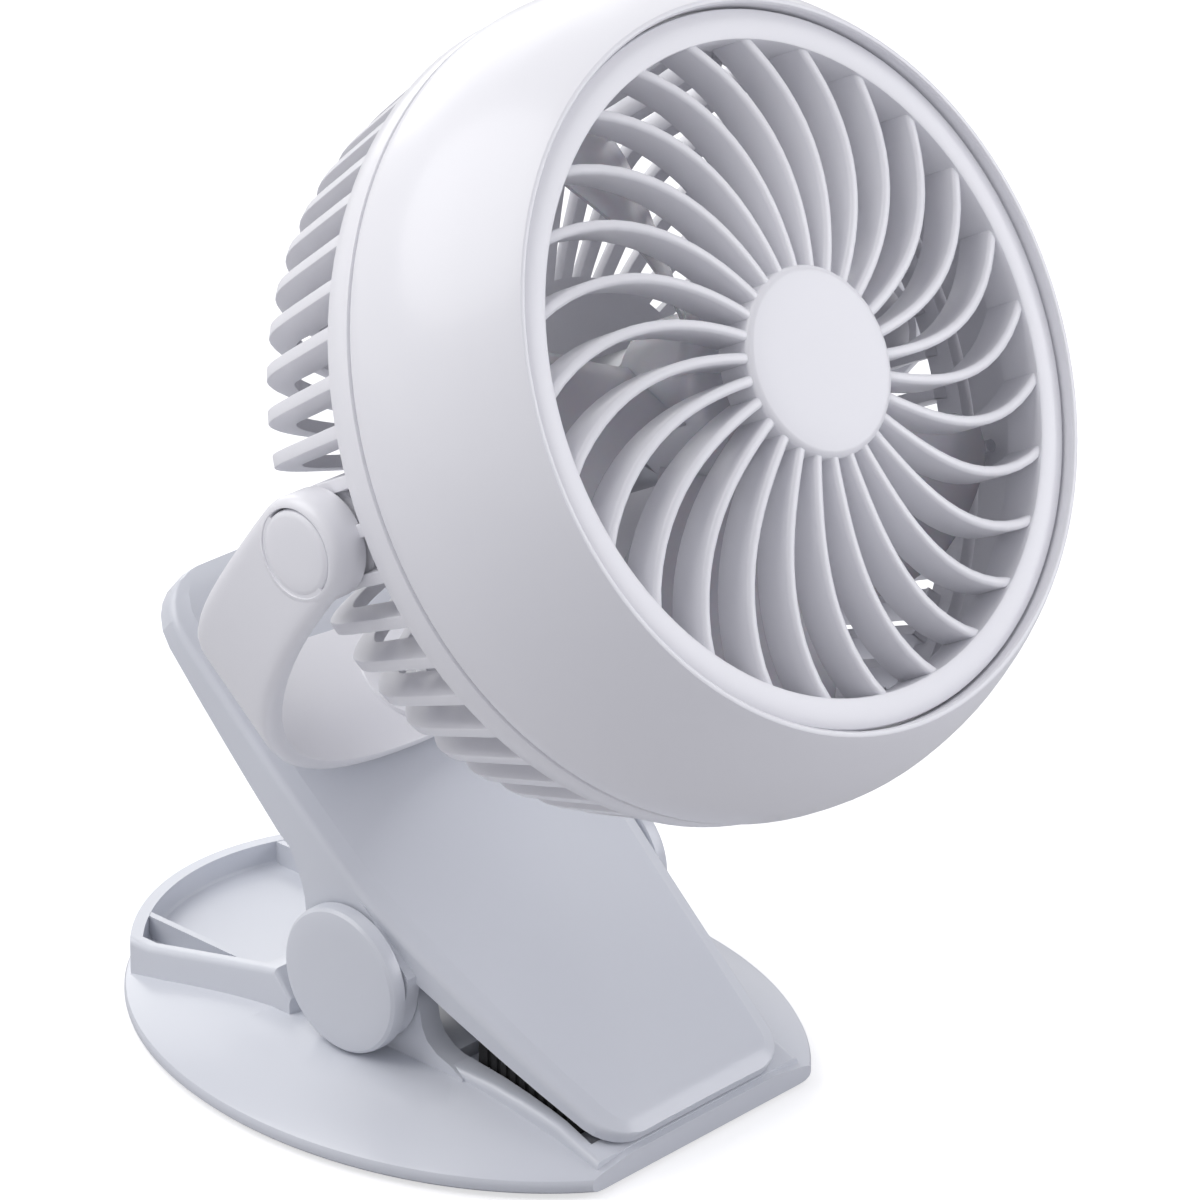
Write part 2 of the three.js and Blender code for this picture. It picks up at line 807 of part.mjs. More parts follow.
function yoke() {
  const steps = 18;
  const rings = [];
  for (let i = 0; i <= steps; i += 1) {
    rings.push(yokeRing((i / steps) * Math.PI));
  }
  const ends = [-1, 1].map((side) => {
    const profile = [
      [0, yokeBossInner],
      [yokeLegHalf, yokeBossInner],
      [yokeLegHalf, yokeOuterHalf - 1.4],
      [yokeLegHalf - 0.6, yokeOuterHalf - 0.4],
      [yokeLegHalf - 2, yokeOuterHalf],
      [0, yokeOuterHalf],
    ];
    return toSide(turned(profile, 24), side);
  });
  const bores = [-1, 1].map((side) => {
    const profile = [
      [0, yokeBossInner - 1],
      [tiltScrewRadius + seatGap, yokeBossInner - 1],
      [tiltScrewRadius + seatGap, tiltHeadFrom - seatGap],
      [tiltCapRadius + seatGap, tiltHeadFrom - seatGap],
      [tiltCapRadius + seatGap, yokeOuterHalf + 1],
      [0, yokeOuterHalf + 1],
    ];
    return toSide(turned(profile, 24), side);
  });
  const foot = disc(yokeFootRadius, -yokeBottom, 1 - yokeInnerDepth, 36);
  const hole = disc(swivelBoreRadius, -yokeBottom - 1, 3 - yokeInnerDepth, 24);
  return cut(join(loft(rings), ...ends, foot), ...bores, hole);
}

// Screw through the bottom of the yoke, its head inside the band.
function swivelScrew() {
  const seat = 1 - yokeInnerDepth + seatGap;
  return turned(
    [
      [0, -pivotReach - 5],
      [swivelBoreRadius - seatGap, -pivotReach - 5],
      [swivelBoreRadius - seatGap, seat],
      [swivelHeadRadius, seat],
      [swivelHeadRadius, seat + 1.2],
      [swivelHeadRadius - 1, seat + 1.9],
      [0, seat + 1.9],
    ],
    28,
  );
}

function swivelWasher() {
  const under = washerUnder - pivotReach;
  return tube(yokeFootRadius, swivelBoreRadius + seatGap, under, under + swivelWasherThickness, 24);
}

function toSide(shape, side) {
  return side > 0 ? ontoX(shape) : ontoX(shape).rotateZ(Math.PI);
}

function tiltScrew(side) {
  return toSide(
    turned(
      [
        [0, tiltScrewEnd],
        [tiltScrewRadius, tiltScrewEnd],
        [tiltScrewRadius, tiltHeadFrom],
        [tiltScrewRadius + 2, tiltHeadFrom],
        [tiltScrewRadius + 2, tiltHeadFrom + 0.9],
        [0, tiltHeadFrom + 0.9],
      ],
      14,
    ),
    side,
  );
}

function tiltCap(side) {
  const seat = tiltHeadFrom + 0.9 + seatGap;
  return toSide(
    turned(
      [
        [0, seat],
        [tiltScrewRadius + 2.6, seat],
        [tiltScrewRadius + 2.6, tiltHeadFrom],
        [tiltCapRadius, tiltHeadFrom],
        [tiltCapRadius, tiltCapFace - 0.6],
        [tiltCapRadius - 1.2, tiltCapFace],
        [0, tiltCapFace + 0.2],
      ],
      24,
    ),
    side,
  );
}

function tiltWasher(side) {
  const outer = yokeBossInner - seatGap;
  return toSide(tube(washerRadius, tiltScrewRadius + seatGap, outer - washerThickness, outer, 20), side);
}

// ---- Head, made round its tilt axis, +Z out of the front grille ---------------
// Front face of the grille at a radius: a flat ring round a shallow dome.
function grilleDome(r) {
  const t = THREE.MathUtils.clamp((grilleOpening - r) / (grilleOpening - hubRadius), 0, 1);
  return lerp(grilleFace - 0.6, hubFace - 0.5, Math.sin((t * Math.PI) / 2));
}

// Angle by which a rib has swept round at a radius.
function ribSweep(r) {
  const t = Math.max(r - hubRadius, 0) / (grilleOpening - hubRadius);
  return rad(ribSweepEnd) * (0.28 * t + 0.72 * t ** 2.2);
}

function rib(angle) {
  const ends = [hubRadius - 1, ...[0.37, 0.72].map((t) => lerp(hubRadius, grilleOpening, t)), grilleOpening + 1];
  const wide = ribWidth / 2;
  const thin = wide - 0.32;
  const section = [
    [-wide, -0.4],
    [0, 0],
    [wide, -0.4],
    [thin, -grilleDepth],
    [-thin, -grilleDepth],
  ];
  return loft(
    ends.map((r) => {
      const here = angle + ribSweep(r);
      const lead = (ribSweep(r + 0.1) - ribSweep(r - 0.1)) * 5 * r;
      const slope = here + Math.atan(lead);
      const front = grilleDome(r);
      return section.map(([u, h]) =>
        v3(r * Math.cos(here) - u * Math.sin(slope), r * Math.sin(here) + u * Math.cos(slope), front + h),
      );
    }),
  );
}

function frontGrille() {
  const outer = mouthRadius - seatGap;
  const back = grilleFace - 0.6 - grilleDepth;
  const ring = turned(
    [
      [grilleOpening + 0.3, back],
      [ledgeRadius - seatGap, back],
      [ledgeRadius - seatGap, ledgeAt + seatGap],
      [outer, ledgeAt + seatGap],
      [outer, grilleFace],
      [grilleOpening, grilleFace],
      [grilleOpening + 0.3, back],
    ],
    ribCount * 2,
  ).rotateZ(rad(ribStart + ribSweepEnd) + Math.PI / ribCount / 2);
  const hub = turned(
    [
      [0, hubFace - grilleDepth],
      [hubRadius - 0.8, hubFace - grilleDepth],
      [hubRadius, hubFace - grilleDepth + 0.8],
      [hubRadius, hubFace - 0.7],
      [hubRadius - 0.7, hubFace],
      [0, hubFace + 0.3],
    ],
    27,
  );
  const ribs = [];
  for (let i = 0; i < ribCount; i += 1) {
    ribs.push(rib((i / ribCount) * tau + rad(ribStart)));
  }
  return join(ring, hub, ...ribs);
}

// Outside of the housing: shares of the seam's radius and of the way to the mouth.
const housingSkin = [
  [1.0055, 0.136],
  [0.996, 0.383],
  [0.96, 0.63],
  [0.9186, 0.815],
].map(([out, ahead]) => [seamRadius * out, lerp(seamAt, mouthAt, ahead)]);

function housing() {
  const rear = seamAt + seatGap * 0.7;
  const inner = housingSkin.map(([r, z]) => [r - wall, z - wall * 0.25]).reverse();
  const shell = turned(
    [
      [seamRadius, rear],
      ...housingSkin,
      [mouthRadius + 2.3, grilleFace],
      [mouthRadius + 0.9, mouthAt],
      [mouthRadius, mouthAt - 0.2],
      [mouthRadius, ledgeAt],
      [ledgeRadius, ledgeAt],
      [ledgeRadius, ledgeAt - wall],
      ...inner.slice(1),
      [seamRadius - wall, rear],
      [seamRadius, rear],
    ],
    60,
  );
  const posts = caseScrewAngles.map((angle) =>
    atAngle(tube(casePostRadius, screwRadius + seatGap, rear, casePostEnd, 12), casePostAt, angle),
  );
  const clear = tube(seamRadius * 1.3, seamRadius - wall * 0.4, seamAt - 1, casePostEnd + 1, 20);
  return join(shell, ...posts.map((post) => cut(post, clear)));
}

// Moves a shape out to a radius and round to an angle.
function atAngle(shape, radius, angle) {
  return shape.translate(radius, 0, 0).rotateZ(angle);
}

// Outer edge of the fins: a coned side, a rounded edge and a shallow back, as shares of the way
// out from the rear hub and back from the band.
const finEdge = [
  [1, 0],
  [0.881, 0.658],
  [0.767, 0.854],
  [0.524, 0.947],
  [0, 1],
].map(([out, down]) => [
  lerp(rearHubRadius + 1.2, seamRadius - 0.9, out),
  lerp(bandRear + 1.3, rearHubBack + 0.4, down),
]);

function fin(angle) {
  const last = finEdge.length - 1;
  return loft(
    finEdge.map(([r, z], i) => {
      const t = i / last;
      const [ra, za] = finEdge[Math.max(i - 1, 0)];
      const [rb, zb] = finEdge[Math.min(i + 1, last)];
      const normal = v2(za - zb, rb - ra).normalize();
      const depth = lerp(finDepth, finEndDepth, smooth(t, 0.15, 0.9));
      const half = finWidth / 2;
      const at = (u, d) => {
        const radius = r - normal.x * d;
        const height = z - normal.y * d;
        return v3(radius * Math.cos(angle) - u * Math.sin(angle), radius * Math.sin(angle) + u * Math.cos(angle), height);
      };
      return [at(-half, 0), at(half, 0), at(half, depth), at(-half, depth)];
    }),
  );
}

// Solid cheek round a tilt pivot, up to the band.
function pivotBlock(side) {
  const dome = [[0, finEdge.at(-1)[1]], ...[...finEdge].reverse(), [seamRadius - 0.3, bandFront], [0, bandFront]];
  const flank = common(
    turned(dome, finCount).rotateZ(Math.PI / finCount),
    box(pivotBossInner, seamRadius * 1.1, -pivotBossRadius, pivotBossRadius, 0, bandFront),
  );
  const made = geometryOf(join(flank, ontoX(disc(pivotBossRadius, pivotBossInner, pivotBossFace, 32))));
  return side > 0 ? made : made.rotateZ(Math.PI);
}

function rearGrille() {
  const band = turned(
    [
      [bandInner, bandRear],
      [bandRadius - 0.5, bandRear],
      [bandRadius, bandFront],
      [bandInner, bandFront],
      [bandInner, bandRear],
    ],
    finCount,
  ).rotateZ(Math.PI / finCount);
  const hub = turned(
    [
      [0, rearHubFront - 2],
      [rearHubRadius - wall, rearHubFront - 2],
      [rearHubRadius - wall, rearCoverSeat],
      [rearHubRadius - 0.2, rearCoverSeat],
      [rearHubRadius - 0.2, rearHubBack + 0.3],
      [rearHubRadius + 1.6, rearHubBack + 0.3],
      [rearHubRadius + 2, rearHubFront],
      [0, rearHubFront],
    ],
    finCount / 2,
  ).rotateZ(Math.PI / finCount);
  const fins = [];
  for (let i = 0; i < finCount; i += 1) {
    fins.push(fin((i / finCount) * tau));
  }
  const screwBosses = caseScrewAngles.map((angle) =>
    atAngle(disc(casePostRadius, bandRear, bandFront, 10), casePostAt, angle),
  );
  const screwBores = caseScrewAngles.flatMap((angle) => [
    atAngle(disc(screwRadius + seatGap, 0, bandFront + 1, 10), casePostAt, angle),
    atAngle(disc(screwHeadRadius + seatGap, 0, bandRear + screwHeadHeight, 12), casePostAt, angle),
  ]);
  const posts = boardPosts.map((angle) =>
    atAngle(disc(boardPostRadius, boardFront + seatGap, rearHubFront - 1, 8), boardPostAt, angle),
  );
  const blocks = [pivotBlock(-1), pivotBlock(1)];
  const pivotBores = [-1, 1].flatMap((side) => [
    toSide(disc(tiltScrewRadius + seatGap, tiltScrewEnd - seatGap, yokeOuterHalf, 16), side),
    toSide(disc(yokeLegHalf + turnGap, pivotBossFace, yokeOuterHalf, 32), side),
  ]);
  return cut(join(band, hub, ...fins, ...screwBosses, ...posts, ...blocks), ...screwBores, ...pivotBores);
}

function caseScrew(angle) {
  return atAngle(screw(bandRear - seatGap, 12), casePostAt, angle);
}

function rearCover() {
  const plate = turned(
    [
      [0, rearHubBack],
      [rearHubRadius - 1.6, rearHubBack],
      [rearHubRadius - 0.5, rearHubBack + 0.8],
      [rearHubRadius - 0.5, rearCoverSeat - seatGap],
      [0, rearCoverSeat - seatGap],
    ],
    48,
  );
  const button = disc(buttonRadius + seatGap, rearHubBack - 1, rearCoverSeat, 32).translate(0, buttonAt, 0);
  const lens = disc(lensRadius + seatGap, rearHubBack - 1, rearCoverSeat, 16);
  const half = portWidth / 2 + seatGap;
  const low = -portHeight / 2 - seatGap;
  return cut(plate, button, lens, box(-half, half, -buttonAt + low, -buttonAt - low, rearHubBack - 1, rearCoverSeat));
}

function powerButton() {
  const top = rearHubBack - buttonProud;
  return turned(
    [
      [0, top],
      [buttonRadius - 0.8, top + 0.1],
      [buttonRadius, top + 0.8],
      [buttonRadius, rearCoverSeat],
      [buttonRadius + 1.2, rearCoverSeat],
      [buttonRadius + 1.2, rearCoverSeat + 0.8],
      [0, rearCoverSeat + 0.8],
    ],
    32,
  ).translate(0, buttonAt, 0);
}

function usbPort() {
  const from = rearHubBack + 0.3;
  const to = boardBack - seatGap;
  const w = portWidth / 2;
  const h = portHeight / 2;
  const body = box(-w, w, -h, h, from, to);
  const mouth = box(0.4 - w, w - 0.4, 0.4 - h, h - 0.4, from - 1, to - 0.8);
  const tongue = box(1.6 - w, w - 1.6, -0.35, 0.35, from + 0.8, to - 0.4);
  return geometryOf(join(cut(body, mouth), tongue)).translate(0, -buttonAt, 0);
}

function indicatorLens() {
  return turned(
    [
      [0, rearHubBack - 0.2],
      [lensRadius - 0.3, rearHubBack],
      [lensRadius, rearHubBack + 0.3],
      [lensRadius, boardBack - seatGap],
      [0, boardBack - seatGap],
    ],
    16,
  );
}

function motorCan() {
  const from = rearHubFront + seatGap;
  const to = from + motorLength;
  const body = turned(
    [
      [0, from],
      [motorRadius - 0.6, from],
      [motorRadius, from + 0.6],
      [motorRadius, to - 1],
      [3.2, to],
      [3.2, to + 1.4],
      [0, to + 1.4],
    ],
    28,
  );
  return cut(body, disc(shaftRadius + turnGap / 2, from + 3, to + 3, 16));
}

function motorShaft() {
  return disc(shaftRadius, rearHubFront + seatGap + 3 + turnGap, rotorHubFront - 3, 16);
}

function blade(angle) {
  const stations = [0, 0.25, 0.5, 0.72, 0.88, 0.97, 1];
  const across = [-0.5, -0.15, 0.2, 0.5];
  return loft(
    stations.map((t) => {
      const r = lerp(rotorHubRadius - 1.2, bladeTip, t);
      const round = Math.sqrt(Math.max(1 - Math.max((t - 0.72) / 0.3, 0) ** 2, 0.05));
      const chordLength = lerp(bladeRootChord, bladeChord, smooth(t, 0, 0.75)) * (0.35 + 0.65 * round);
      const turn = rad(lerp(bladePitch + 12, bladePitch - 6, t));
      const middle = angle + rad(bladeSweep) * t * t;
      const at = (u, thick) => {
        const here = middle + (u * chordLength * Math.cos(turn)) / r;
        const camber = (0.25 - u * u) * 6 * t;
        const z = bladeMiddle + u * chordLength * Math.sin(turn) + camber;
        return v3(r * Math.cos(here), r * Math.sin(here), z + thick * (1.1 - 1.2 * Math.abs(u)));
      };
      const upper = across.map((u) => at(u, bladeThickness / 2));
      const lower = across.map((u) => at(u, -bladeThickness / 2)).reverse();
      return [...upper, ...lower];
    }),
  );
}

function rotor() {
  const hub = turned(
    [
      [0, rotorHubBack + 2],
      [rotorHubRadius - 2, rotorHubBack + 2],
      [rotorHubRadius - 2, rotorHubBack],
      [rotorHubRadius, rotorHubBack],
      [rotorHubRadius, rotorHubFront - 3],
      [rotorHubRadius - 3, rotorHubFront - 0.5],
      [0, rotorHubFront],
    ],
    40,
  );
  const blades = [];
  for (let i = 0; i < bladeCount; i += 1) {
    blades.push(blade((i / bladeCount) * tau + rad(22)));
  }
  const bore = disc(shaftRadius + seatGap, rotorHubBack - 1, rotorHubFront - 3 + seatGap, 16);
  return cut(join(hub, ...blades), bore);
}

// ---- Colours ----------------------------------------------------------------
const finishes = {
  white: [0xf0f0f4, 0.32, 0],
  shade: [0xe4e4ea, 0.4, 0],
  blade: [0xd6d8e0, 0.2, 0],
  rubber: [0x1c1c1f, 0.85, 0],
  steel: [0xa9abae, 0.35, 1],
  board: [0x2c5a3a, 0.6, 0],
  wrap: [0x4a6a9a, 0.5, 0],
  lens: [0xbfe6cf, 0.15, 0],
};

const fan = new THREE.Group();
const headGroup = new THREE.Group();
const yokeGroup = new THREE.Group();
const pivotPoint = armPoint(0, swivelAt, pivotReach);
headGroup.position.copy(pivotPoint);
headGroup.rotation.x = Math.PI / 2 - rad(headTilt);
yokeGroup.position.copy(pivotPoint);
yokeGroup.rotation.x = swivelTurn;
fan.add(headGroup, yokeGroup);

function add(group, name, shape, finish) {
  const [color, roughness, metalness] = finishes[finish];
  const material = new THREE.MeshStandardMaterial({ color, roughness, metalness });
  const mesh = new THREE.Mesh(geometryOf(shape), material);
  mesh.name = name;
  group.add(mesh);
}

const sides = [
  [-1, "left"],
  [1, "right"],
];

add(fan, "base_shell", baseShell(), "white");
add(fan, "base_cover", baseCover(), "white");
add(fan, "foot_pad", footPad(), "rubber");
add(fan, "battery_cell", battery(), "wrap");
add(fan, "lower_jaw_pad", lowerJawPad(), "rubber");
add(fan, "hinge_pin", hingePin(), "steel");
add(fan, "torsion_spring", torsionSpring(), "steel");
footScrews.forEach(([x, y], i) => {
  add(fan, `base_screw_${i + 1}`, screw(coverUnder, 2.7).translate(x, y, 0), "steel");
});
sides.forEach(([side, word]) => add(fan, `hinge_cap_${word}`, hingeCap(side), "white"));

add(fan, "arm_shell", armShell(), "white");
add(fan, "arm_lid", armLid(), "white");
add(fan, "upper_jaw_pad", upperJawPad(), "rubber");
armScrews.forEach(([x, s], i) => add(fan, `arm_screw_${i + 1}`, armScrew(x, s), "steel"));

add(yokeGroup, "yoke", yoke(), "white");
add(yokeGroup, "swivel_screw", swivelScrew(), "steel");
add(yokeGroup, "swivel_washer", swivelWasher(), "rubber");
sides.forEach(([side, word]) => {
  add(yokeGroup, `tilt_cap_${word}`, tiltCap(side), "white");
  add(yokeGroup, `tilt_screw_${word}`, tiltScrew(side), "steel");
  add(yokeGroup, `tilt_washer_${word}`, tiltWasher(side), "rubber");
});

add(headGroup, "front_grille", frontGrille(), "white");
add(headGroup, "head_housing", housing(), "white");
add(headGroup, "rear_grille", rearGrille(), "white");
caseScrewAngles.forEach((angle, i) => add(headGroup, `case_screw_${i + 1}`, caseScrew(angle), "steel"));
add(headGroup, "motor_can", motorCan(), "steel");
add(headGroup, "motor_shaft", motorShaft(), "steel");
add(headGroup, "rotor", rotor(), "blade");
add(headGroup, "control_board", disc(boardRadius, boardBack, boardFront, 36), "board");
add(headGroup, "rear_cover", rearCover(), "white");
add(headGroup, "power_button", powerButton(), "shade");
add(headGroup, "usb_port", usbPort(), "steel");
add(headGroup, "indicator_lens", indicatorLens(), "lens");

export default fan;
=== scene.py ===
# Looks of the clip fan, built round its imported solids. Lengths in the dictionaries are in millimetres.
import bpy
import math
from mathutils import Matrix, Vector


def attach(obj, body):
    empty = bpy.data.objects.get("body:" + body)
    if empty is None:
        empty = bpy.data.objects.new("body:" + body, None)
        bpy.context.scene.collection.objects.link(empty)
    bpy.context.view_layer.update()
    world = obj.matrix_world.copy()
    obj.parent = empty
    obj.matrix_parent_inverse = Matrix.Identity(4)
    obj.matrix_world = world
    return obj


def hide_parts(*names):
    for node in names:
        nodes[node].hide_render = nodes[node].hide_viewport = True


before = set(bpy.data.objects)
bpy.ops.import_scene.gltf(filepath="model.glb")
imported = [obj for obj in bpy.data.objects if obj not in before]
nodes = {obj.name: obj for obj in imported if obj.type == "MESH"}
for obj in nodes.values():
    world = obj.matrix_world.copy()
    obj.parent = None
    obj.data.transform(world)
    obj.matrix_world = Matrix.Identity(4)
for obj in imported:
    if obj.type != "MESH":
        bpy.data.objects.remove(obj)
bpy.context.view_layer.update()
mm = 0.001
turnRound = 2 * math.pi
spare = 0.05  # kept inside the faceted solids
weld = 0.01 * mm  # points closer than this become one
keysPerMm, keyShift = 20, 0.137  # places are compared in steps of 0.05 mm, set off from round numbers
bothSides = {-1: "Left", 1: "Right"}

# The two frames that the head and the yoke are made in.
pivot = Vector((0, -31.794, 131.421)) * mm
headTurn = math.radians(61.6)
swivelTurn = math.radians(38.8085)
headPlace = Matrix.Translation(pivot) @ Matrix.Rotation(headTurn, 4, "X")
yokePlace = Matrix.Translation(pivot) @ Matrix.Rotation(swivelTurn, 4, "X")


# Sums and modelling steps that the pieces share.
def lerp(first, second, share):
    return first + (second - first) * share


def smoothstep(value, low, high):
    share = min(max((value - low) / (high - low), 0), 1)
    return share * share * (3 - 2 * share)


def onlyPick(piece):
    bpy.ops.object.select_all(action="DESELECT")
    piece.select_set(True)
    bpy.context.view_layer.objects.active = piece


def startPiece(name):
    bpy.ops.object.select_all(action="DESELECT")
    bpy.ops.mesh.primitive_plane_add(size=mm, location=(0, 0, 0))
    piece = bpy.context.object
    piece.name = name
    bpy.ops.object.mode_set(mode="EDIT")
    bpy.ops.mesh.select_mode(type="VERT")
    bpy.ops.mesh.select_all(action="SELECT")
    bpy.ops.mesh.delete(type="VERT")
    return piece


def drawChain(points):
    # A small square drawn in to one corner, then led on from point to point.
    points = [Vector(point) * mm for point in points]
    bpy.ops.mesh.primitive_plane_add(size=mm * 0.1, location=points[0])
    bpy.ops.mesh.merge(type="CENTER")
    for here, ahead in zip(points, points[1:]):
        bpy.ops.mesh.extrude_vertices_move(TRANSFORM_OT_translate={"value": ahead - here})


def pickPoints(piece, test):
    bpy.ops.object.mode_set(mode="OBJECT")
    mesh = piece.data
    for face in mesh.polygons:
        face.select = False
    for edge in mesh.edges:
        edge.select = False
    for vertex in mesh.vertices:
        vertex.select = test(vertex.co)
    bpy.ops.object.mode_set(mode="EDIT")
    bpy.ops.mesh.select_mode(type="VERT")


def nearAny(points):
    keys = {tuple(round(value * keysPerMm + keyShift) for value in point) for point in points}

    def test(place):
        return tuple(round(value / mm * keysPerMm + keyShift) for value in place) in keys

    return test


def closeSkin():
    bpy.ops.mesh.select_all(action="SELECT")
    bpy.ops.mesh.remove_doubles(threshold=weld)
    bpy.ops.mesh.normals_make_consistent(inside=False)


def finishMode(piece):
    bpy.ops.object.mode_set(mode="OBJECT")
    onlyPick(piece)
    return piece


def turned(name, profile, steps=96):
    # A profile of (radius, height) led round the Z axis.
    piece = startPiece(name)
    drawChain([(radius, 0, height) for radius, height in profile])
    bpy.ops.mesh.select_all(action="SELECT")
    bpy.ops.mesh.spin(steps=steps, angle=turnRound, center=(0, 0, 0), axis=(0, 0, 1))
    closeSkin()
    return finishMode(piece)


def skin(name, rings, closed=True, caps=True):
    # Neighbouring outlines bridged into one skin.
    piece = startPiece(name)
    for ring in rings:
        drawChain(list(ring) + [ring[0]] if closed else ring)
    bpy.ops.mesh.select_all(action="SELECT")
    bpy.ops.mesh.remove_doubles(threshold=weld)
    for first, second in zip(rings, rings[1:]):
        pickPoints(piece, nearAny(list(first) + list(second)))
        bpy.ops.mesh.bridge_edge_loops()
    if closed and caps:
        for ring in (rings[0], rings[-1]):
            pickPoints(piece, nearAny(ring))
            bpy.ops.mesh.edge_face_add()
    closeSkin()
    return finishMode(piece)


def plate(name, outline, lift):
    # A flat outline, closed and drawn out by a vector.
    piece = startPiece(name)
    drawChain(outline)
    bpy.ops.mesh.select_all(action="SELECT")
    bpy.ops.mesh.edge_face_add()
    bpy.ops.mesh.extrude_region_move(TRANSFORM_OT_translate={"value": Vector(lift) * mm})
    closeSkin()
    return finishMode(piece)


def sideBlock(name, outline, start, width):
    # An outline of (y, z) led across the part.
    return plate(name, [(start, y, z) for y, z in outline], (width, 0, 0))


def squareBlock(name, half, front, rear, low, high):
    corners = [(-half, front, low), (half, front, low), (half, rear, low), (-half, rear, low)]
    return plate(name, corners, (0, 0, high - low))


def mendSkin(piece):
    # Slivers and loose ends left by cuts and bevels are cleared, and pinholes closed.
    onlyPick(piece)
    bpy.ops.object.mode_set(mode="EDIT")
    bpy.ops.mesh.select_all(action="SELECT")
    bpy.ops.mesh.remove_doubles(threshold=0.004 * mm)
    bpy.ops.mesh.dissolve_degenerate(threshold=0.002 * mm)
    bpy.ops.mesh.delete_loose()
    bpy.ops.mesh.select_all(action="SELECT")
    bpy.ops.mesh.fill_holes(sides=0)
    bpy.ops.mesh.select_all(action="SELECT")
    bpy.ops.mesh.normals_make_consistent(inside=False)
    return finishMode(piece)


def addModifier(piece, kind, **settings):
    onlyPick(piece)
    bpy.ops.object.modifier_add(type=kind)
    made = piece.modifiers[-1]
    for key, value in settings.items():
        setattr(made, key, value)
    bpy.ops.object.modifier_apply(modifier=made.name)


def bevelEdges(piece, width, segments=3, degrees=35):
    addModifier(piece, "BEVEL", width=width * mm, segments=segments, limit_method="ANGLE",
                angle_limit=math.radians(degrees), use_clamp_overlap=True, harden_normals=False)


def thicken(piece, thickness):
    addModifier(piece, "SOLIDIFY", thickness=thickness * mm, offset=0.0, use_even_offset=True)


def combine(piece, tool, operation="DIFFERENCE"):
    addModifier(piece, "BOOLEAN", operation=operation, object=tool, solver="EXACT")
    onlyPick(tool)
    bpy.ops.object.delete()
    onlyPick(piece)


def gather(pieces):
    bpy.ops.object.select_all(action="DESELECT")
    for piece in pieces:
        piece.select_set(True)
    bpy.context.view_layer.objects.active = pieces[0]
    if len(pieces) > 1:
        bpy.ops.object.join()
    return pieces[0]


def ringOf(piece, count):
    # The piece and its copies, evenly round the Z axis.
    copies = [piece]
    for step in range(1, count):
        onlyPick(piece)
        bpy.ops.object.duplicate(linked=False)
        copy = bpy.context.object
        copy.rotation_euler.z = turnRound * step / count
        copies.append(copy)
    for copy in copies:
        copy.select_set(True)
    bpy.ops.object.transform_apply(location=True, rotation=True, scale=True)
    return gather(copies)


def turnPiece(piece, angles=(0, 0, 0), shift=(0, 0, 0)):
    onlyPick(piece)
    piece.rotation_euler = [math.radians(angle) for angle in angles]
    piece.location = Vector(shift) * mm
    bpy.ops.object.transform_apply(location=True, rotation=True, scale=True)
    return piece


def copyPiece(piece, name):
    onlyPick(piece)
    bpy.ops.object.duplicate(linked=False)
    copy = bpy.context.object
    copy.name = name
    return copy


def copyNode(name, pieceName):
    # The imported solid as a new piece, its loose triangles merged.
    copy = copyPiece(nodes[name], pieceName)
    bpy.ops.object.mode_set(mode="EDIT")
    bpy.ops.mesh.select_all(action="SELECT")
    bpy.ops.mesh.remove_doubles(threshold=0.005 * mm)
    bpy.ops.mesh.dissolve_limited(angle_limit=math.radians(1))
    return finishMode(copy)


def finishPiece(piece, finish, body, replaced, smooth=30, place=None):
    onlyPick(piece)
    if place is not None:
        piece.matrix_world = place
        bpy.ops.object.transform_apply(location=True, rotation=True, scale=True)
    bpy.ops.object.shade_smooth_by_angle(angle=math.radians(smooth))
    piece.data.materials.clear()
    piece.data.materials.append(finishes[finish])
    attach(piece, body)
    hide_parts(*replaced)


def smoothLine(points, steps=4):
    # More points along a smooth line through the given ones.
    ends = [points[0]] + list(points) + [points[-1]]
    line = []
    for before, here, ahead, after in zip(ends, ends[1:], ends[2:], ends[3:]):
        for step in range(steps):
            t = step / steps
            spot = []
            for a, b, c, d in zip(before, here, ahead, after):
                bend = (2 * a - 5 * b + 4 * c - d) * t * t + (3 * b - a - 3 * c + d) * t * t * t
                spot.append(b + 0.5 * ((c - a) * t + bend))
            line.append(tuple(spot))
    line.append(tuple(points[-1]))
    return line


# Finishes.
class Value:
    # A socket that adds Math nodes when it is reckoned with.
    def __init__(self, tree, socket):
        self.tree = tree
        self.socket = socket

    def reckon(self, operation, first, second):
        node = self.tree.nodes.new("ShaderNodeMath")
        node.operation = operation
        for place, item in enumerate((first, second)):
            if isinstance(item, Value):
                self.tree.links.new(item.socket, node.inputs[place])
            else:
                node.inputs[place].default_value = item
        return Value(self.tree, node.outputs[0])

    def __add__(self, other):
        return self.reckon("ADD", self, other)

    def __radd__(self, other):
        return self.reckon("ADD", other, self)

    def __sub__(self, other):
        return self.reckon("SUBTRACT", self, other)

    def __rsub__(self, other):
        return self.reckon("SUBTRACT", other, self)

    def __mul__(self, other):
        return self.reckon("MULTIPLY", self, other)

    def __rmul__(self, other):
        return self.reckon("MULTIPLY", other, self)


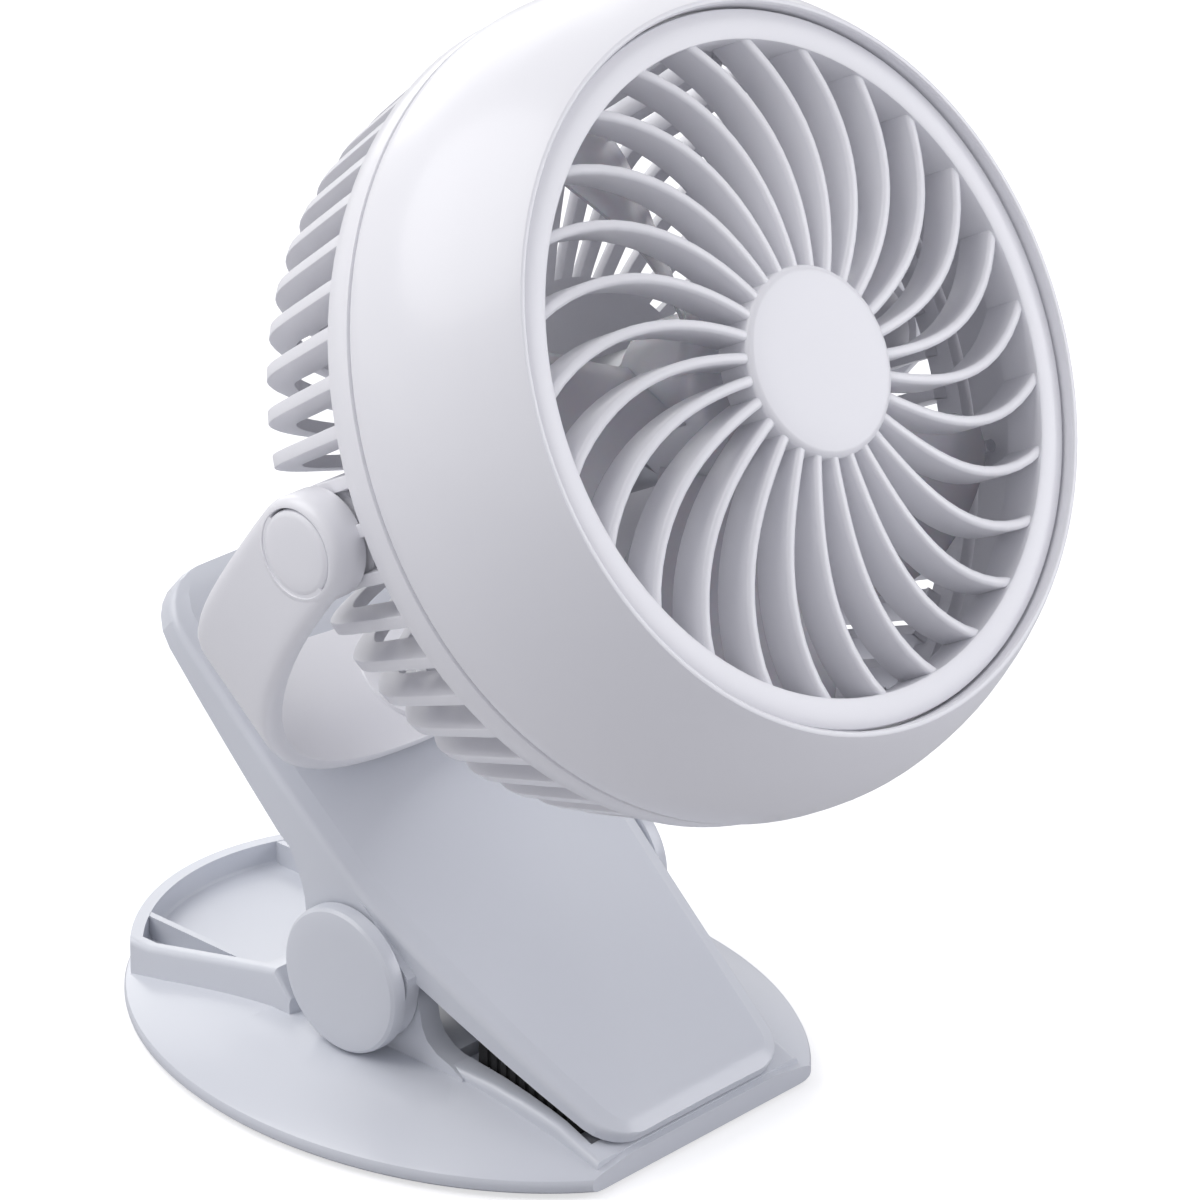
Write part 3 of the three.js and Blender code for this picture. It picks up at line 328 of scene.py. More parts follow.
class Finish:
    # One material, with its shader and the nodes that vary it.
    def __init__(self, name, fixed):
        self.material = bpy.data.materials.new(name)
        self.material.use_nodes = True
        self.tree = self.material.node_tree
        self.shader = self.tree.nodes["Principled BSDF"]
        for socket, value in fixed.items():
            self.shader.inputs[socket].default_value = value
        coordinates = self.tree.nodes.new("ShaderNodeTexCoord")
        self.place = Value(self.tree, coordinates.outputs["Object"])

    def node(self, kind, settings=None, inputs=None, output=0):
        made = self.tree.nodes.new(kind)
        for key, value in (settings or {}).items():
            if key == "stops":
                ramp = made.color_ramp
                for stop, (position, shade) in zip(ramp.elements, value):
                    stop.position = position
                    stop.color = (shade, shade, shade, 1)
            else:
                setattr(made, key, value)
        for key, value in (inputs or {}).items():
            if isinstance(value, Value):
                self.tree.links.new(value.socket, made.inputs[key])
            else:
                made.inputs[key].default_value = value
        return Value(self.tree, made.outputs[output])

    def noise(self, scale, detail=3.0, roughness=0.5, place=None):
        # Scales are repeats to the metre.
        inputs = {"Vector": place or self.place, "Scale": scale, "Detail": detail, "Roughness": roughness}
        return self.node("ShaderNodeTexNoise", None, inputs, "Fac")

    def ramp(self, value, low, high):
        settings = {"stops": [(low, 0.0), (high, 1.0)]}
        return self.node("ShaderNodeValToRGB", settings, {"Fac": value}, "Color")

    def blend(self, share, first, second):
        settings = {"data_type": "RGBA"}
        return self.node("ShaderNodeMix", settings, {0: share, 6: first, 7: second}, 2)

    def feed(self, socket, value):
        self.tree.links.new(value.socket, self.shader.inputs[socket])

    def bump(self, height, strength, distance):
        inputs = {"Height": height, "Strength": strength, "Distance": distance}
        self.feed("Normal", self.node("ShaderNodeBump", None, inputs, "Normal"))


def colour(red, green, blue):
    return (red, green, blue, 1.0)


def mouldedPlastic(name, tone, shadeTone, roughness, coat=0.0):
    finish = Finish(name, {"IOR": 1.46, "Coat Roughness": 0.12, "Coat Weight": coat})
    flow = finish.noise(14.0, detail=1.0)
    scuffs = finish.ramp(finish.noise(260.0, detail=6.0, roughness=0.7), low=0.64, high=0.85)
    finish.feed("Base Color", finish.blend(flow * 0.8, tone, shadeTone))
    finish.feed("Roughness", roughness + flow * 0.05 + scuffs * 0.05)
    finish.bump(finish.noise(420.0, detail=2.0), strength=0.05, distance=0.0002)
    return finish.material


def softRubber(name, tone, worn):
    finish = Finish(name, {"IOR": 1.5, "Specular IOR Level": 0.35})
    grain = finish.noise(2600.0, detail=2.0)
    chalk = finish.ramp(finish.noise(120.0, detail=5.0, roughness=0.65), low=0.5, high=0.75)
    finish.feed("Base Color", finish.blend(chalk * 0.5, tone, worn))
    finish.feed("Roughness", 0.62 + grain * 0.2)
    finish.bump(grain, strength=0.35, distance=0.0001)
    return finish.material


def platedSteel(name, tone, dull, roughness):
    finish = Finish(name, {"Metallic": 1.0})
    drawn = {"Vector": finish.place, "Scale": (60.0, 900.0, 900.0)}
    lines = finish.noise(1.0, roughness=0.6, place=finish.node("ShaderNodeMapping", None, drawn))
    stain = finish.noise(90.0, detail=4.0)
    finish.feed("Base Color", finish.blend(stain * 0.6, tone, dull))
    finish.feed("Roughness", roughness + lines * 0.15)
    finish.bump(lines, strength=0.08, distance=0.0001)
    return finish.material


def milkyBlade(name):
    fixed = {"IOR": 1.46, "Transmission Weight": 0.35, "Subsurface Weight": 0.2, "Subsurface Scale": 0.004}
    finish = Finish(name, fixed)
    flow = finish.noise(45.0, detail=2.0)
    dust = finish.ramp(finish.noise(320.0, detail=6.0, roughness=0.7), low=0.5, high=0.8)
    finish.feed("Base Color", finish.blend(flow, colour(0.84, 0.84, 0.88), colour(0.76, 0.76, 0.82)))
    finish.feed("Roughness", 0.16 + dust * 0.14)
    finish.bump(flow, strength=0.05, distance=0.0003)
    return finish.material


def coatedBoard(name):
    finish = Finish(name, {"IOR": 1.5, "Coat Weight": 0.4})
    tracks = finish.node("ShaderNodeTexBrick", None, {"Vector": finish.place, "Scale": 260.0}, "Fac")
    finish.feed("Base Color", finish.blend(tracks, colour(0.03, 0.16, 0.07), colour(0.06, 0.26, 0.12)))
    finish.feed("Roughness", 0.35 + finish.noise(300.0) * 0.2)
    return finish.material


finishes = {
    "white": mouldedPlastic("whitePlastic", colour(0.84, 0.838, 0.868), colour(0.80, 0.80, 0.84), 0.3, 0.15),
    # The second white is the same white plastic painted darker and bluer: painted shade for the arm, foot, lid
    # and hinge caps that lie under the head.
    "paintedShadeWhite": mouldedPlastic(
        "whitePlasticPaintedShade", colour(0.66, 0.678, 0.725), colour(0.61, 0.632, 0.69), 0.27, 0.2),
    "button": mouldedPlastic("buttonPlastic", colour(0.74, 0.74, 0.78), colour(0.7, 0.7, 0.745), 0.32),
    "rubber": softRubber("blackRubber", colour(0.012, 0.012, 0.013), colour(0.03, 0.03, 0.032)),
    "steel": platedSteel("platedSteel", colour(0.62, 0.63, 0.65), colour(0.5, 0.5, 0.52), 0.22),
    "motor": platedSteel("motorSteel", colour(0.5, 0.51, 0.53), colour(0.4, 0.4, 0.42), 0.3),
    "blade": milkyBlade("milkyBlade"),
    "board": coatedBoard("coatedBoard"),
    "wrap": mouldedPlastic("batteryWrap", colour(0.06, 0.14, 0.32), colour(0.05, 0.11, 0.27), 0.35),
    "lens": mouldedPlastic("greenLens", colour(0.45, 0.75, 0.55), colour(0.4, 0.7, 0.5), 0.15),
}
nodeFinish = {
    "foot_pad": "rubber", "lower_jaw_pad": "rubber", "upper_jaw_pad": "rubber", "swivel_washer": "rubber",
    "tilt_washer_left": "rubber", "tilt_washer_right": "rubber", "battery_cell": "wrap", "rotor": "blade",
    "motor_can": "motor", "control_board": "board", "indicator_lens": "lens", "power_button": "button",
    # The foot, arm and hinge cap pieces take the darker white, which is painted shade.
    "base_shell": "paintedShadeWhite", "base_cover": "paintedShadeWhite", "arm_shell": "paintedShadeWhite", "arm_lid": "paintedShadeWhite",
    "hinge_cap_left": "paintedShadeWhite", "hinge_cap_right": "paintedShadeWhite",
}
steelWords = ("screw", "pin", "spring", "shaft", "port")

for name, node in nodes.items():
    finish = nodeFinish.get(name) or ("steel" if any(word in name for word in steelWords) else "white")
    node.data.materials.clear()
    node.data.materials.append(finishes[finish])
print("finishes laid on", len(nodes), "solids")


# Housing of the head.
housingSizes = {
    "rear": [(70.2, 17.85), (71.9, 17.85), (72.25, 18.0)],
    "outside": [(72.45, 18.4), (72.9, 21.9), (72.2, 30), (69.6, 38), (66.6, 44), (64.15, 48), (62.9, 49.75)],
    "mouth": 61.75, "front": 49.9, "ledge": 59.9, "ledgeAt": 45.05, "ledgeDepth": 2,
    "inside": [(66.6, 43.6), (69.6, 37.6), (72.2, 29.8), (72.8, 22)], "wall": 2.1, "steps": 128,
}


def buildHousing():
    size = housingSizes
    mouth, front, ledge, ledgeAt = size["mouth"], size["front"], size["ledge"], size["ledgeAt"]
    outside = [(radius - spare, height) for radius, height in smoothLine(size["outside"])]
    lip = [(62.45, front - 0.03), (62.1, front - 0.1), (mouth + 0.05, front - 0.4), (mouth, front - 0.8)]
    shelf = [(mouth, ledgeAt), (ledge, ledgeAt), (ledge, ledgeAt - size["ledgeDepth"])]
    inside = [(radius - size["wall"], height) for radius, height in size["inside"]]
    profile = size["rear"] + outside + lip + shelf + inside + size["rear"][:1]
    piece = turned("headHousing", profile, size["steps"])
    finishPiece(piece, "white", "head", ["head_housing"], place=headPlace)


# Front grille: ring, hub disc and swept ribs.
grilleSizes = {
    "ribs": 27, "ribStart": 2.4, "sweep": 19.8, "evenSweep": 0.28, "sweepBend": 2.2, "ribWidth": 1.85,
    "ribBevel": 0.62, "ribDepths": (0.05, 3, 7.9), "stations": 15, "hub": 16.5, "hubFace": 52.4, "hubSteps": 72,
    "opening": 55.9, "face": 48.0, "depth": 8.0, "outer": 61.35, "ledge": 59.45, "ledgeAt": 45.35, "steps": 128,
}


def grilleFront(radius):
    size = grilleSizes
    share = min(max((size["opening"] - radius) / (size["opening"] - size["hub"]), 0), 1)
    return lerp(size["face"] - 0.6, size["hubFace"] - 0.5, math.sin(share * math.pi / 2))


def ribTurn(radius):
    size = grilleSizes
    share = max(radius - size["hub"], 0) / (size["opening"] - size["hub"])
    even = size["evenSweep"]
    turn = even * share + (1 - even) * share ** size["sweepBend"]
    return math.radians(size["ribStart"] + size["sweep"] * turn)


def buildRib():
    size = grilleSizes
    rails = [[], [], []]
    for step in range(size["stations"]):
        radius = lerp(size["hub"] - 1, size["opening"] + 0.8, step / (size["stations"] - 1))
        angle, front = ribTurn(radius), grilleFront(radius)
        x, y = radius * math.cos(angle), radius * math.sin(angle)
        for rail, depth in zip(rails, size["ribDepths"]):
            rail.append((x, y, front - depth))
    piece = skin("grilleRib", rails, closed=False)
    thicken(piece, size["ribWidth"])
    bevelEdges(piece, size["ribBevel"], degrees=50)
    return piece


def buildFrontGrille():
    size = grilleSizes
    opening, face, back = size["opening"], size["face"] - spare, size["face"] - 0.6 - size["depth"]
    ring = turned("grilleRing", [
        (opening + 0.3, back), (size["ledge"], back), (size["ledge"], size["ledgeAt"]),
        (size["outer"], size["ledgeAt"]), (size["outer"], face - 0.7), (size["outer"] - 0.2, face - 0.22),
        (size["outer"] - 0.65, face), (opening + 0.6, face), (opening + 0.15, face - 0.15),
        (opening, face - 0.6), (opening + 0.3, back),
    ], size["steps"])
    hub, face, back = size["hub"], size["hubFace"], size["hubFace"] - size["depth"]
    disc = turned("grilleHub", [
        (0, back), (hub - 0.8, back), (hub, back + 0.8), (hub, face - 1.1), (hub - 0.1, face - 0.72),
        (hub - 0.35, face - 0.38), (hub - 0.75, face - 0.14), (hub - 1.3, face - 0.02), (hub - 6, face + 0.16),
        (0, face + 0.25),
    ], size["hubSteps"])
    ribs = ringOf(buildRib(), size["ribs"])
    piece = gather([ring, disc, ribs])
    piece.name = "frontGrille"
    finishPiece(piece, "white", "head", ["front_grille"], 34, headPlace)


# Rear grille: band, cup and swept fins.
rearSizes = {
    "fins": 54, "thickness": 2.3, "bevel": 0.75, "depth": 6.5, "endDepth": 3.0,
    "edge": [(71.5, 14.5), (71.4, 11.8), (69.1, 1.5), (67, -7.5), (65.6, -12.2), (63.6, -15.6), (60.4, -18.1),
             (56, -20), (50, -21.2), (38, -22.4), (26.2, -23.1)],
    "band": [(68, 11.3), (71.3, 11.3), (71.7, 11.45), (71.92, 11.8), (72.25, 16.5), (72.15, 16.95),
             (71.8, 17.15), (68, 17.15), (68, 11.3)],
    "cup": [(0, -5), (22.8, -5), (22.8, -21.6), (24.8, -21.6), (24.8, -23.1), (25.1, -23.2), (26.2, -23.2),
            (26.55, -23.05), (26.7, -22.7), (27, -3), (0, -3)],
    "pivotBore": 1.9, "pivotRadius": 9.35, "pivotFrom": 58.2, "pivotFace": 68.35,
    "post": [(1.5, 11.3), (3.15, 11.3), (3.15, 17.1), (1.5, 17.1), (1.5, 11.3)],
    "postAt": 67.8, "postFins": (14.5, 32.5, 50.5),
}


def finRails():
    size = rearSizes
    line = smoothLine(size["edge"], 2)
    rails = [[], []]
    last = len(line) - 1
    for place, (radius, height) in enumerate(line):
        share = place / last
        before, after = line[max(place - 1, 0)], line[min(place + 1, last)]
        normal = Vector((before[1] - after[1], after[0] - before[0])).normalized()
        depth = lerp(size["depth"], size["endDepth"], smoothstep(share, 0.15, 0.9))
        for rail, into in zip(rails, (spare, depth)):
            rail.append((radius - normal.x * into, 0, height - normal.y * into))
    return rails


def buildRearGrille():
    size = rearSizes
    fin = skin("rearFin", finRails(), closed=False)
    thicken(fin, size["thickness"])
    bevelEdges(fin, size["bevel"], degrees=50)
    fins = ringOf(fin, size["fins"])
    pieces = [turned("rearBand", size["band"], 128), turned("rearCup", size["cup"]), fins]
    bore, radius, start, face = (size["pivot" + word] for word in ("Bore", "Radius", "From", "Face"))
    for side in bothSides:
        boss = turned("pivotBoss", [
            (bore, start), (radius, start), (radius, face - 0.5), (radius - 0.15, face - 0.15),
            (radius - 0.5, face), (bore, face), (bore, start),
        ], 64)
        pieces.append(turnPiece(boss, (0, 90 * side, 0)))
    for place in size["postFins"]:
        turn = turnRound * place / size["fins"]
        shift = (size["postAt"] * math.cos(turn), size["postAt"] * math.sin(turn), 0)
        pieces.append(turnPiece(turned("screwPost", size["post"], 20), shift=shift))
    piece = gather(pieces)
    piece.name = "rearGrille"
    finishPiece(piece, "white", "head", ["rear_grille"], 34, headPlace)


# Rotor.
rotorSizes = {
    "blades": 5, "root": 13.8, "tip": 58.9, "thickness": 1.3, "middle": 26, "chords": (17, 38),
    "pitches": (44, 26), "turn": 22, "sweep": 14, "camber": 6, "stations": 13, "across": 9,
    "hub": [(1.3, 20), (13, 20), (13, 18.1), (13.2, 18), (14.7, 18), (14.95, 18.2), (14.95, 32.6), (14.6, 33.8),
            (13.7, 34.8), (12.2, 35.5), (8, 35.9), (0, 35.95), (0, 33.3), (1.3, 33.3), (1.3, 20)],
}


def bladeSpot(share, across):
    # Wider and flatter towards the tip, where its corners are rounded.
    size = rotorSizes
    radius = lerp(size["root"], size["tip"], share)
    rounding = math.sqrt(max(1 - max((share - 0.72) / 0.3, 0) ** 2, 0.05))
    chord = lerp(*size["chords"], smoothstep(share, 0, 0.75)) * (0.35 + 0.65 * rounding)
    pitch = math.radians(lerp(*size["pitches"], share))
    turn = math.radians(size["turn"] + size["sweep"] * share * share)
    turn += across * chord * math.cos(pitch) / radius
    bow = (0.25 - across * across) * size["camber"] * share
    height = size["middle"] + across * chord * math.sin(pitch) + bow
    return radius * math.cos(turn), radius * math.sin(turn), height


def bladeRing(share):
    # A closed section, thinner towards its two edges.
    size, near = rotorSizes, 0.01
    upper, lower = [], []
    for row in range(size["across"]):
        across = row / (size["across"] - 1) - 0.5
        here = Vector(bladeSpot(share, across))
        chord = Vector(bladeSpot(share, across + near)) - Vector(bladeSpot(share, across - near))
        outwards, inwards = bladeSpot(min(share + near, 1), across), bladeSpot(max(share - near, 0), across)
        span = Vector(outwards) - Vector(inwards)
        bulge = math.sqrt(max(1 - (2 * across) ** 2, 0))
        offset = chord.cross(span).normalized() * size["thickness"] * (0.2 + 0.3 * bulge)
        upper.append(tuple(here + offset))
        lower.append(tuple(here - offset))
    return upper + lower[::-1]


def buildRotor():
    size = rotorSizes
    last = size["stations"] - 1
    blade = mendSkin(skin("rotorBlade", [bladeRing(step / last) for step in range(last + 1)]))
    blades = ringOf(blade, size["blades"])
    piece = gather([turned("rotorHub", size["hub"], 72), blades])
    piece.name = "fanRotor"
    finishPiece(piece, "blade", "fan_rotor", ["rotor"], 34, headPlace)


# Yoke.
yokeSizes = {
    "innerHalf": 73.8, "thickness": 3.35, "innerDepth": 81.4, "bottom": 3.8, "legHalf": 9.45, "bandHalf": 12.95,
    "edge": [(0, 0.5), (0.04, 0.14), (0.14, 0), (0.45, 0), (0.72, 0.22), (0.9, 0.85), (0.985, 1.9), (1, 3.2)],
    "steps": 44, "bossInner": 69.85, "outerHalf": 77.15, "capBore": 7.7, "headSeat": 74.3, "tiltBore": 1.95,
    "footRadius": 9.95, "footBore": 3,
}


def yokeOutline(angle):
    # The edge is given as (share of the depth, inset).
    size = yokeSizes
    half = lerp(size["legHalf"], size["bandHalf"], smoothstep(math.sin(angle), 0.1, 0.95))
    sides = [(depth, half - inset) for depth, inset in size["edge"]]
    sides = sides + [(depth, -y) for depth, y in reversed(sides)]
    ring = []
    for depth, y in sides:
        across = size["innerHalf"] + depth * size["thickness"]
        down = size["innerDepth"] + depth * size["bottom"]
        ring.append((across * math.cos(angle), y, -down * math.sin(angle)))
    return ring


def buildYoke():
    size = yokeSizes
    rings = [yokeOutline(math.pi * step / size["steps"]) for step in range(size["steps"] + 1)]
    pieces = [skin("yokeBand", rings)]
    outer, inner, radius, bore = size["outerHalf"], size["bossInner"], size["legHalf"], size["capBore"]
    hole, seat = size["tiltBore"], size["headSeat"]
    for side in bothSides:
        boss = turned("yokeEnd", [
            (hole, inner), (radius - 0.5, inner), (radius - 0.1, inner + 0.2), (radius, inner + 0.6),
            (radius, outer - 1.9), (radius - 0.25, outer - 0.95), (radius - 0.8, outer - 0.3),
            (radius - 1.4, outer - 0.03), (bore + 0.1, outer), (bore, outer - 0.15), (bore, seat), (hole, seat),
            (hole, inner),
        ], 72)
        pieces.append(turnPiece(boss, (0, 90 * side, 0)))
    radius, hole, inner = size["footRadius"], size["footBore"], -size["innerDepth"]
    under = inner - size["bottom"] + spare
    pieces.append(turned("yokeFoot", [
        (hole, under), (radius - 0.65, under), (radius, inner - 3.2), (radius, inner + 0.5),
        (radius - 0.55, inner + 0.95), (hole, inner + 0.95), (hole, under),
    ], 64))
    piece = gather(pieces)
    piece.name = "yokeFrame"
    finishPiece(piece, "white", "yoke_frame", ["yoke"], 34, yokePlace)


tiltCapSizes = {"seat": 75.8, "under": 74.65, "radius": 7.35, "face": 77.35, "recess": 4.2}


def buildTiltCaps():
    size = tiltCapSizes
    radius, face = size["radius"], size["face"]
    for side, word in bothSides.items():
        piece = turned("tiltCap" + word, [
            (0, size["seat"]), (size["recess"], size["seat"]), (size["recess"], size["under"]),
            (radius, size["under"]), (radius, face - 0.9), (radius - 0.12, face - 0.5),
            (radius - 0.45, face - 0.2), (radius - 1.1, face - 0.03), (radius - 3, face + 0.12), (0, face + 0.18),
        ], 64)
        turnPiece(piece, (0, 90 * side, 0))
        node = "tilt_cap_" + word.lower()
        finishPiece(piece, "white", "yoke_frame", [node], place=yokePlace)


# Arm.
armSizes = {
    "tipY": -56, "tipHeight": 8.4, "chord": 36.1, "length": 132.5, "halfTurn": 6, "half": 33, "tipHalf": 22.8,
    "taper": 62.275, "tip": 2.6, "root": 9.6, "top": 4.6, "thickest": 80.295, "tipCorner": 6.5, "topCorner": 11,
    "cornerAngles": (3, 14, 28, 42, 56, 72, 90), "middleSteps": 12, "crown": 1.14, "border": 3.8,
    "borderDrop": 1.25, "edge": 1.7, "edgeSteps": 8, "edgeTurn": 80, "wall": 1.9, "lidFrom": 16, "lidTo": 127.5,
    "cheek": 3.2, "cheekSpots": ((46.5711, -4.8), (84.295, -7.68), (60.22125, -3.84)), "bevel": 0.35,
    "swivelAt": 96.2,
    "swivelSeat": [(0, -1.5), (12, -1.5), (12, 1.05), (11.8, 1.45), (11.4, 1.65), (0, 1.65)],
    "swivelBore": [(0, -6), (3.1, -6), (3.1, 1.2), (4, 1.7), (4, 4), (0, 4)],
}


def armFace(along):
    # The arm's face is an arc that sags under a straight chord from tip to top.
    size = armSizes
    chord, half = math.radians(size["chord"]), math.radians(size["halfTurn"])
    bend = size["length"] / (2 * math.sin(half))
    off = along - size["length"] / 2
    sag = math.sqrt(bend ** 2 - off ** 2) - bend * math.cos(half)
    y = size["tipY"] + along * math.cos(chord) + sag * math.sin(chord)
    z = size["tipHeight"] + along * math.sin(chord) - sag * math.cos(chord)
    return y, z, chord + math.asin(off / bend)


def armPoint(x, along, height):
    y, z, angle = armFace(along)
    return x, y - height * math.sin(angle), z + height * math.cos(angle)


def armThickness(along):
    size = armSizes
    if along < size["thickest"]:
        return lerp(size["tip"], size["root"], (along / size["thickest"]) ** 1.15)
    return lerp(size["root"], size["top"], (along - size["thickest"]) / (size["length"] - size["thickest"]))


def cornerCut(radius, distance):
    return radius - math.sqrt(radius ** 2 - (radius - distance) ** 2) if distance < radius else 0


def armHalf(along):
    size = armSizes
    plain = lerp(size["tipHalf"], size["half"], min(along / size["taper"], 1) ** 0.8)
    return plain - cornerCut(size["tipCorner"], along) - cornerCut(size["topCorner"], size["length"] - along)


def armLift(x, along):
    # Crowned in the middle, with a flat chamfer along every edge.
    size = armSizes
    half = armHalf(along)
    inwards = min(half - abs(x), along + 0.2, size["length"] + 0.2 - along)
    slope = 1 - min(max(inwards / size["border"], 0), 1)
    return size["crown"] * (1 - (x / size["half"]) ** 2) - size["borderDrop"] * slope


def armOutline(along):
    size = armSizes
    half, thick = armHalf(along), armThickness(along)
    edge = min(size["edge"], thick * 0.5)
    crease = half - size["border"]
    stops = (half * 0.4, half * 0.7, crease - 0.5, crease, half - edge - 0.6)
    right = [(x, armLift(x, along)) for x in stops]
    low, last = armLift(half - edge, along), size["edgeSteps"]
    for step in range(last + 1):
        turn = math.radians(lerp(size["edgeTurn"], 0, step / last))
        right.append((half - edge + edge * math.cos(turn), low - edge + edge * math.sin(turn)))
    right.append((half, -thick))
    left = [(-x, height) for x, height in reversed(right)]
    section = left + [(0, armLift(0, along))] + right
    return [armPoint(x, along, height) for x, height in section]


def armStations():
    # Closer together where the corners round off.
    size = armSizes
    shares = [1 - math.cos(math.radians(angle)) for angle in size["cornerAngles"]]
    tip = [size["tipCorner"] * share for share in shares]
    top = [size["length"] - size["topCorner"] * share for share in reversed(shares)]
    count = size["middleSteps"]
    return tip + [lerp(tip[-1], top[0], step / count) for step in range(1, count)] + top


def buildArmHollow():
    size = armSizes
    start, end = size["lidFrom"], size["lidTo"]
    rings = []
    for along in [start] + [place for place in armStations() if start + 1 < place < end - 1] + [end]:
        half, upper, lower = armHalf(along) - size["cheek"], -size["wall"], -armThickness(along) - 3
        corners = [(-half, lower), (-half, upper), (half, upper), (half, lower)]
        rings.append([armPoint(x, along, height) for x, height in corners])
    return skin("armHollow", rings)


def arcPoints(y, z, radius, start, end, count):
    points = []
    for step in range(count + 1):
        turn = math.radians(lerp(start, end, step / count))
        points.append((y + radius * math.cos(turn), z + radius * math.sin(turn)))
    return points


def curvePoints(start, pull, end, count):
    points = []
    for step in range(count + 1):
        t = step / count
        spot = [(1 - t) ** 2 * a + 2 * t * (1 - t) * b + t * t * c for a, b, c in zip(start, pull, end)]
        points.append(tuple(spot))
    return points


hingeSizes = {
    "height": 25.2, "cheek": 13.25, "pin": 2.7, "cheekArc": (184.5, 382), "capRadius": 14.05, "capInner": 33.3,
    "capThickness": 3.6, "capBack": 34.65,
}


def pinBore(name, reach, x):
    pin = hingeSizes["pin"]
    bore = turned(name, [(0, -reach), (pin, -reach), (pin, reach), (0, reach)], 32)
    return turnPiece(bore, (0, 90, 0), (x, 0, hingeSizes["height"]))


def buildCheek(side):
    size, half, width = hingeSizes, armSizes["half"], armSizes["cheek"]
    radius, height = size["cheek"], size["height"]
    front, rear, inside = (armPoint(0, *spot)[1:] for spot in armSizes["cheekSpots"])
    outline = curvePoints(front, (-radius - 1, height + 4), (-radius, height - 1), 8)
    outline += arcPoints(0, height, radius, *size["cheekArc"], 30)
    outline += curvePoints(outline[-1], (radius - 3.2, height + 12.5), rear, 8)[1:]
    outline.append((inside[0], inside[1] + 2))
    piece = sideBlock("armCheek", outline, side * (half - width), side * (width - 0.03))
    combine(piece, pinBore("cheekHole", 5, side * half))
    return piece


def buildArm():
    size = armSizes
    piece = skin("armShell", [armOutline(along) for along in armStations()])
    for side in bothSides:
        combine(piece, buildCheek(side), "UNION")
    combine(piece, buildArmHollow())
    y, z, angle = armFace(size["swivelAt"])
    for name, steps, operation in (("swivelSeat", 72, "UNION"), ("swivelBore", 48, "DIFFERENCE")):
        tool = turned(name, size[name], steps)
        combine(piece, turnPiece(tool, (math.degrees(angle), 0, 0), (0, y, z)), operation)
    bevelEdges(piece, size["bevel"], 2, 50)
    mendSkin(piece)
    finishPiece(piece, "paintedShadeWhite", "arm", ["arm_shell"], 15)


def buildHingeCaps():
    size = hingeSizes
    radius, hole, back = size["capRadius"], size["pin"] + spare, size["capBack"]
    inner, outer = size["capInner"] + spare, size["capInner"] + size["capThickness"]
    for side, word in bothSides.items():
        piece = turned("hingeCap" + word, [
            (0, back), (hole, back), (hole, inner), (radius - 0.3, inner), (radius, inner + 0.3),
            (radius, outer - 1.5), (radius - 0.2, outer - 0.75), (radius - 0.75, outer - 0.2),
            (radius - 1.7, outer + 0.05), (radius - 5, outer + 0.22), (0, outer + 0.3),
        ], 80)
        turnPiece(piece, (0, 90 * side, 0), (0, 0, size["height"]))
        finishPiece(piece, "paintedShadeWhite", "base", ["hinge_cap_" + word.lower()])


# Foot.
# The tops and halves are the body's height and half width at places along Y.
footSizes = {
    "halfWidth": 55.55, "halfLength": 70.65, "centre": 4, "front": -55.95, "edge": 3.4, "slope": 23, "top": 11.2,
    "under": 0.65, "steps": 160, "rim": 1.3, "rimSteps": 4, "bodyInset": 1.2, "bevel": 0.55,
    "tops": [(-57, 5), (-51, 6.9), (-45, 9.2), (-41, 10.2), (-36, 11.2), (-30, 12.2), (-20, 13.2), (15, 13.4),
             (20, 19), (54, 11.15), (76, 11.15)],
    "halves": [(-57, 27), (-45, 27), (-17, 29.4), (15, 29.4), (16, 33.4), (76, 33.4)],
    "underJaw": [(-57, 4.9), (-45, 8.6), (-12, 13.4), (-12, 30), (-57, 30)], "underJawHalf": 27,
    "jaw": [(-50.95, 4.5), (-45, 6.7), (-18, 10.6), (-18, 30), (-50.95, 30)], "jawHalf": 24.4,
    "trayFloor": 6.4, "trayWall": 2.4, "trayFront": 24, "trayBevel": 1.2,
    "trayRibs": ((-24.3, -22.9), (14.2, 15.6)), "trayRibTop": 11.05, "well": 14.7, "wellAt": 29.42,
    "lugAt": 24.65, "lugWidth": 4.7, "lugRadius": 6.25,
    "lugWeb": [(-24, 11.5), (-21, 13.1), (-17.6, 14.2), (-15.2, 16), (-13.9, 18.4), (-13.4, 21), (-12.6, 23.6),
               (-10.6, 25.8), (-8.4, 27.2)],
}


def footBlock(name, inset, low, high, count=120):
    # The oval of the foot, cut off straight in front, as a block.
    size = footSizes
    across, along = size["halfWidth"] - inset, size["halfLength"] - inset
    start = math.asin((size["front"] + inset - size["centre"]) / along)
    points = []
    for step in range(count + 1):
        turn = lerp(start, math.pi - start, step / count)
        points.append((across * math.cos(turn), size["centre"] + along * math.sin(turn), low))
    return plate(name, points, (0, 0, high - low))


def valueAt(pairs, place):
    # Straight between the pairs of (place, value).
    for (low, first), (high, second) in zip(pairs, pairs[1:]):
        if place <= high:
            return lerp(first, second, (place - low) / (high - low))
    return pairs[-1][1]


def bodyRing(y):
    size = footSizes
    half, top, rim = valueAt(size["halves"], y), valueAt(size["tops"], y), size["rim"]
    right = [(half, size["under"])]
    for step in range(size["rimSteps"] + 1):
        turn = math.radians(90 * step / size["rimSteps"])
        right.append((half - rim + rim * math.cos(turn), top - rim + rim * math.sin(turn)))
    left = [(-x, z) for x, z in reversed(right)]
    return [(x, y, z) for x, z in right + left]


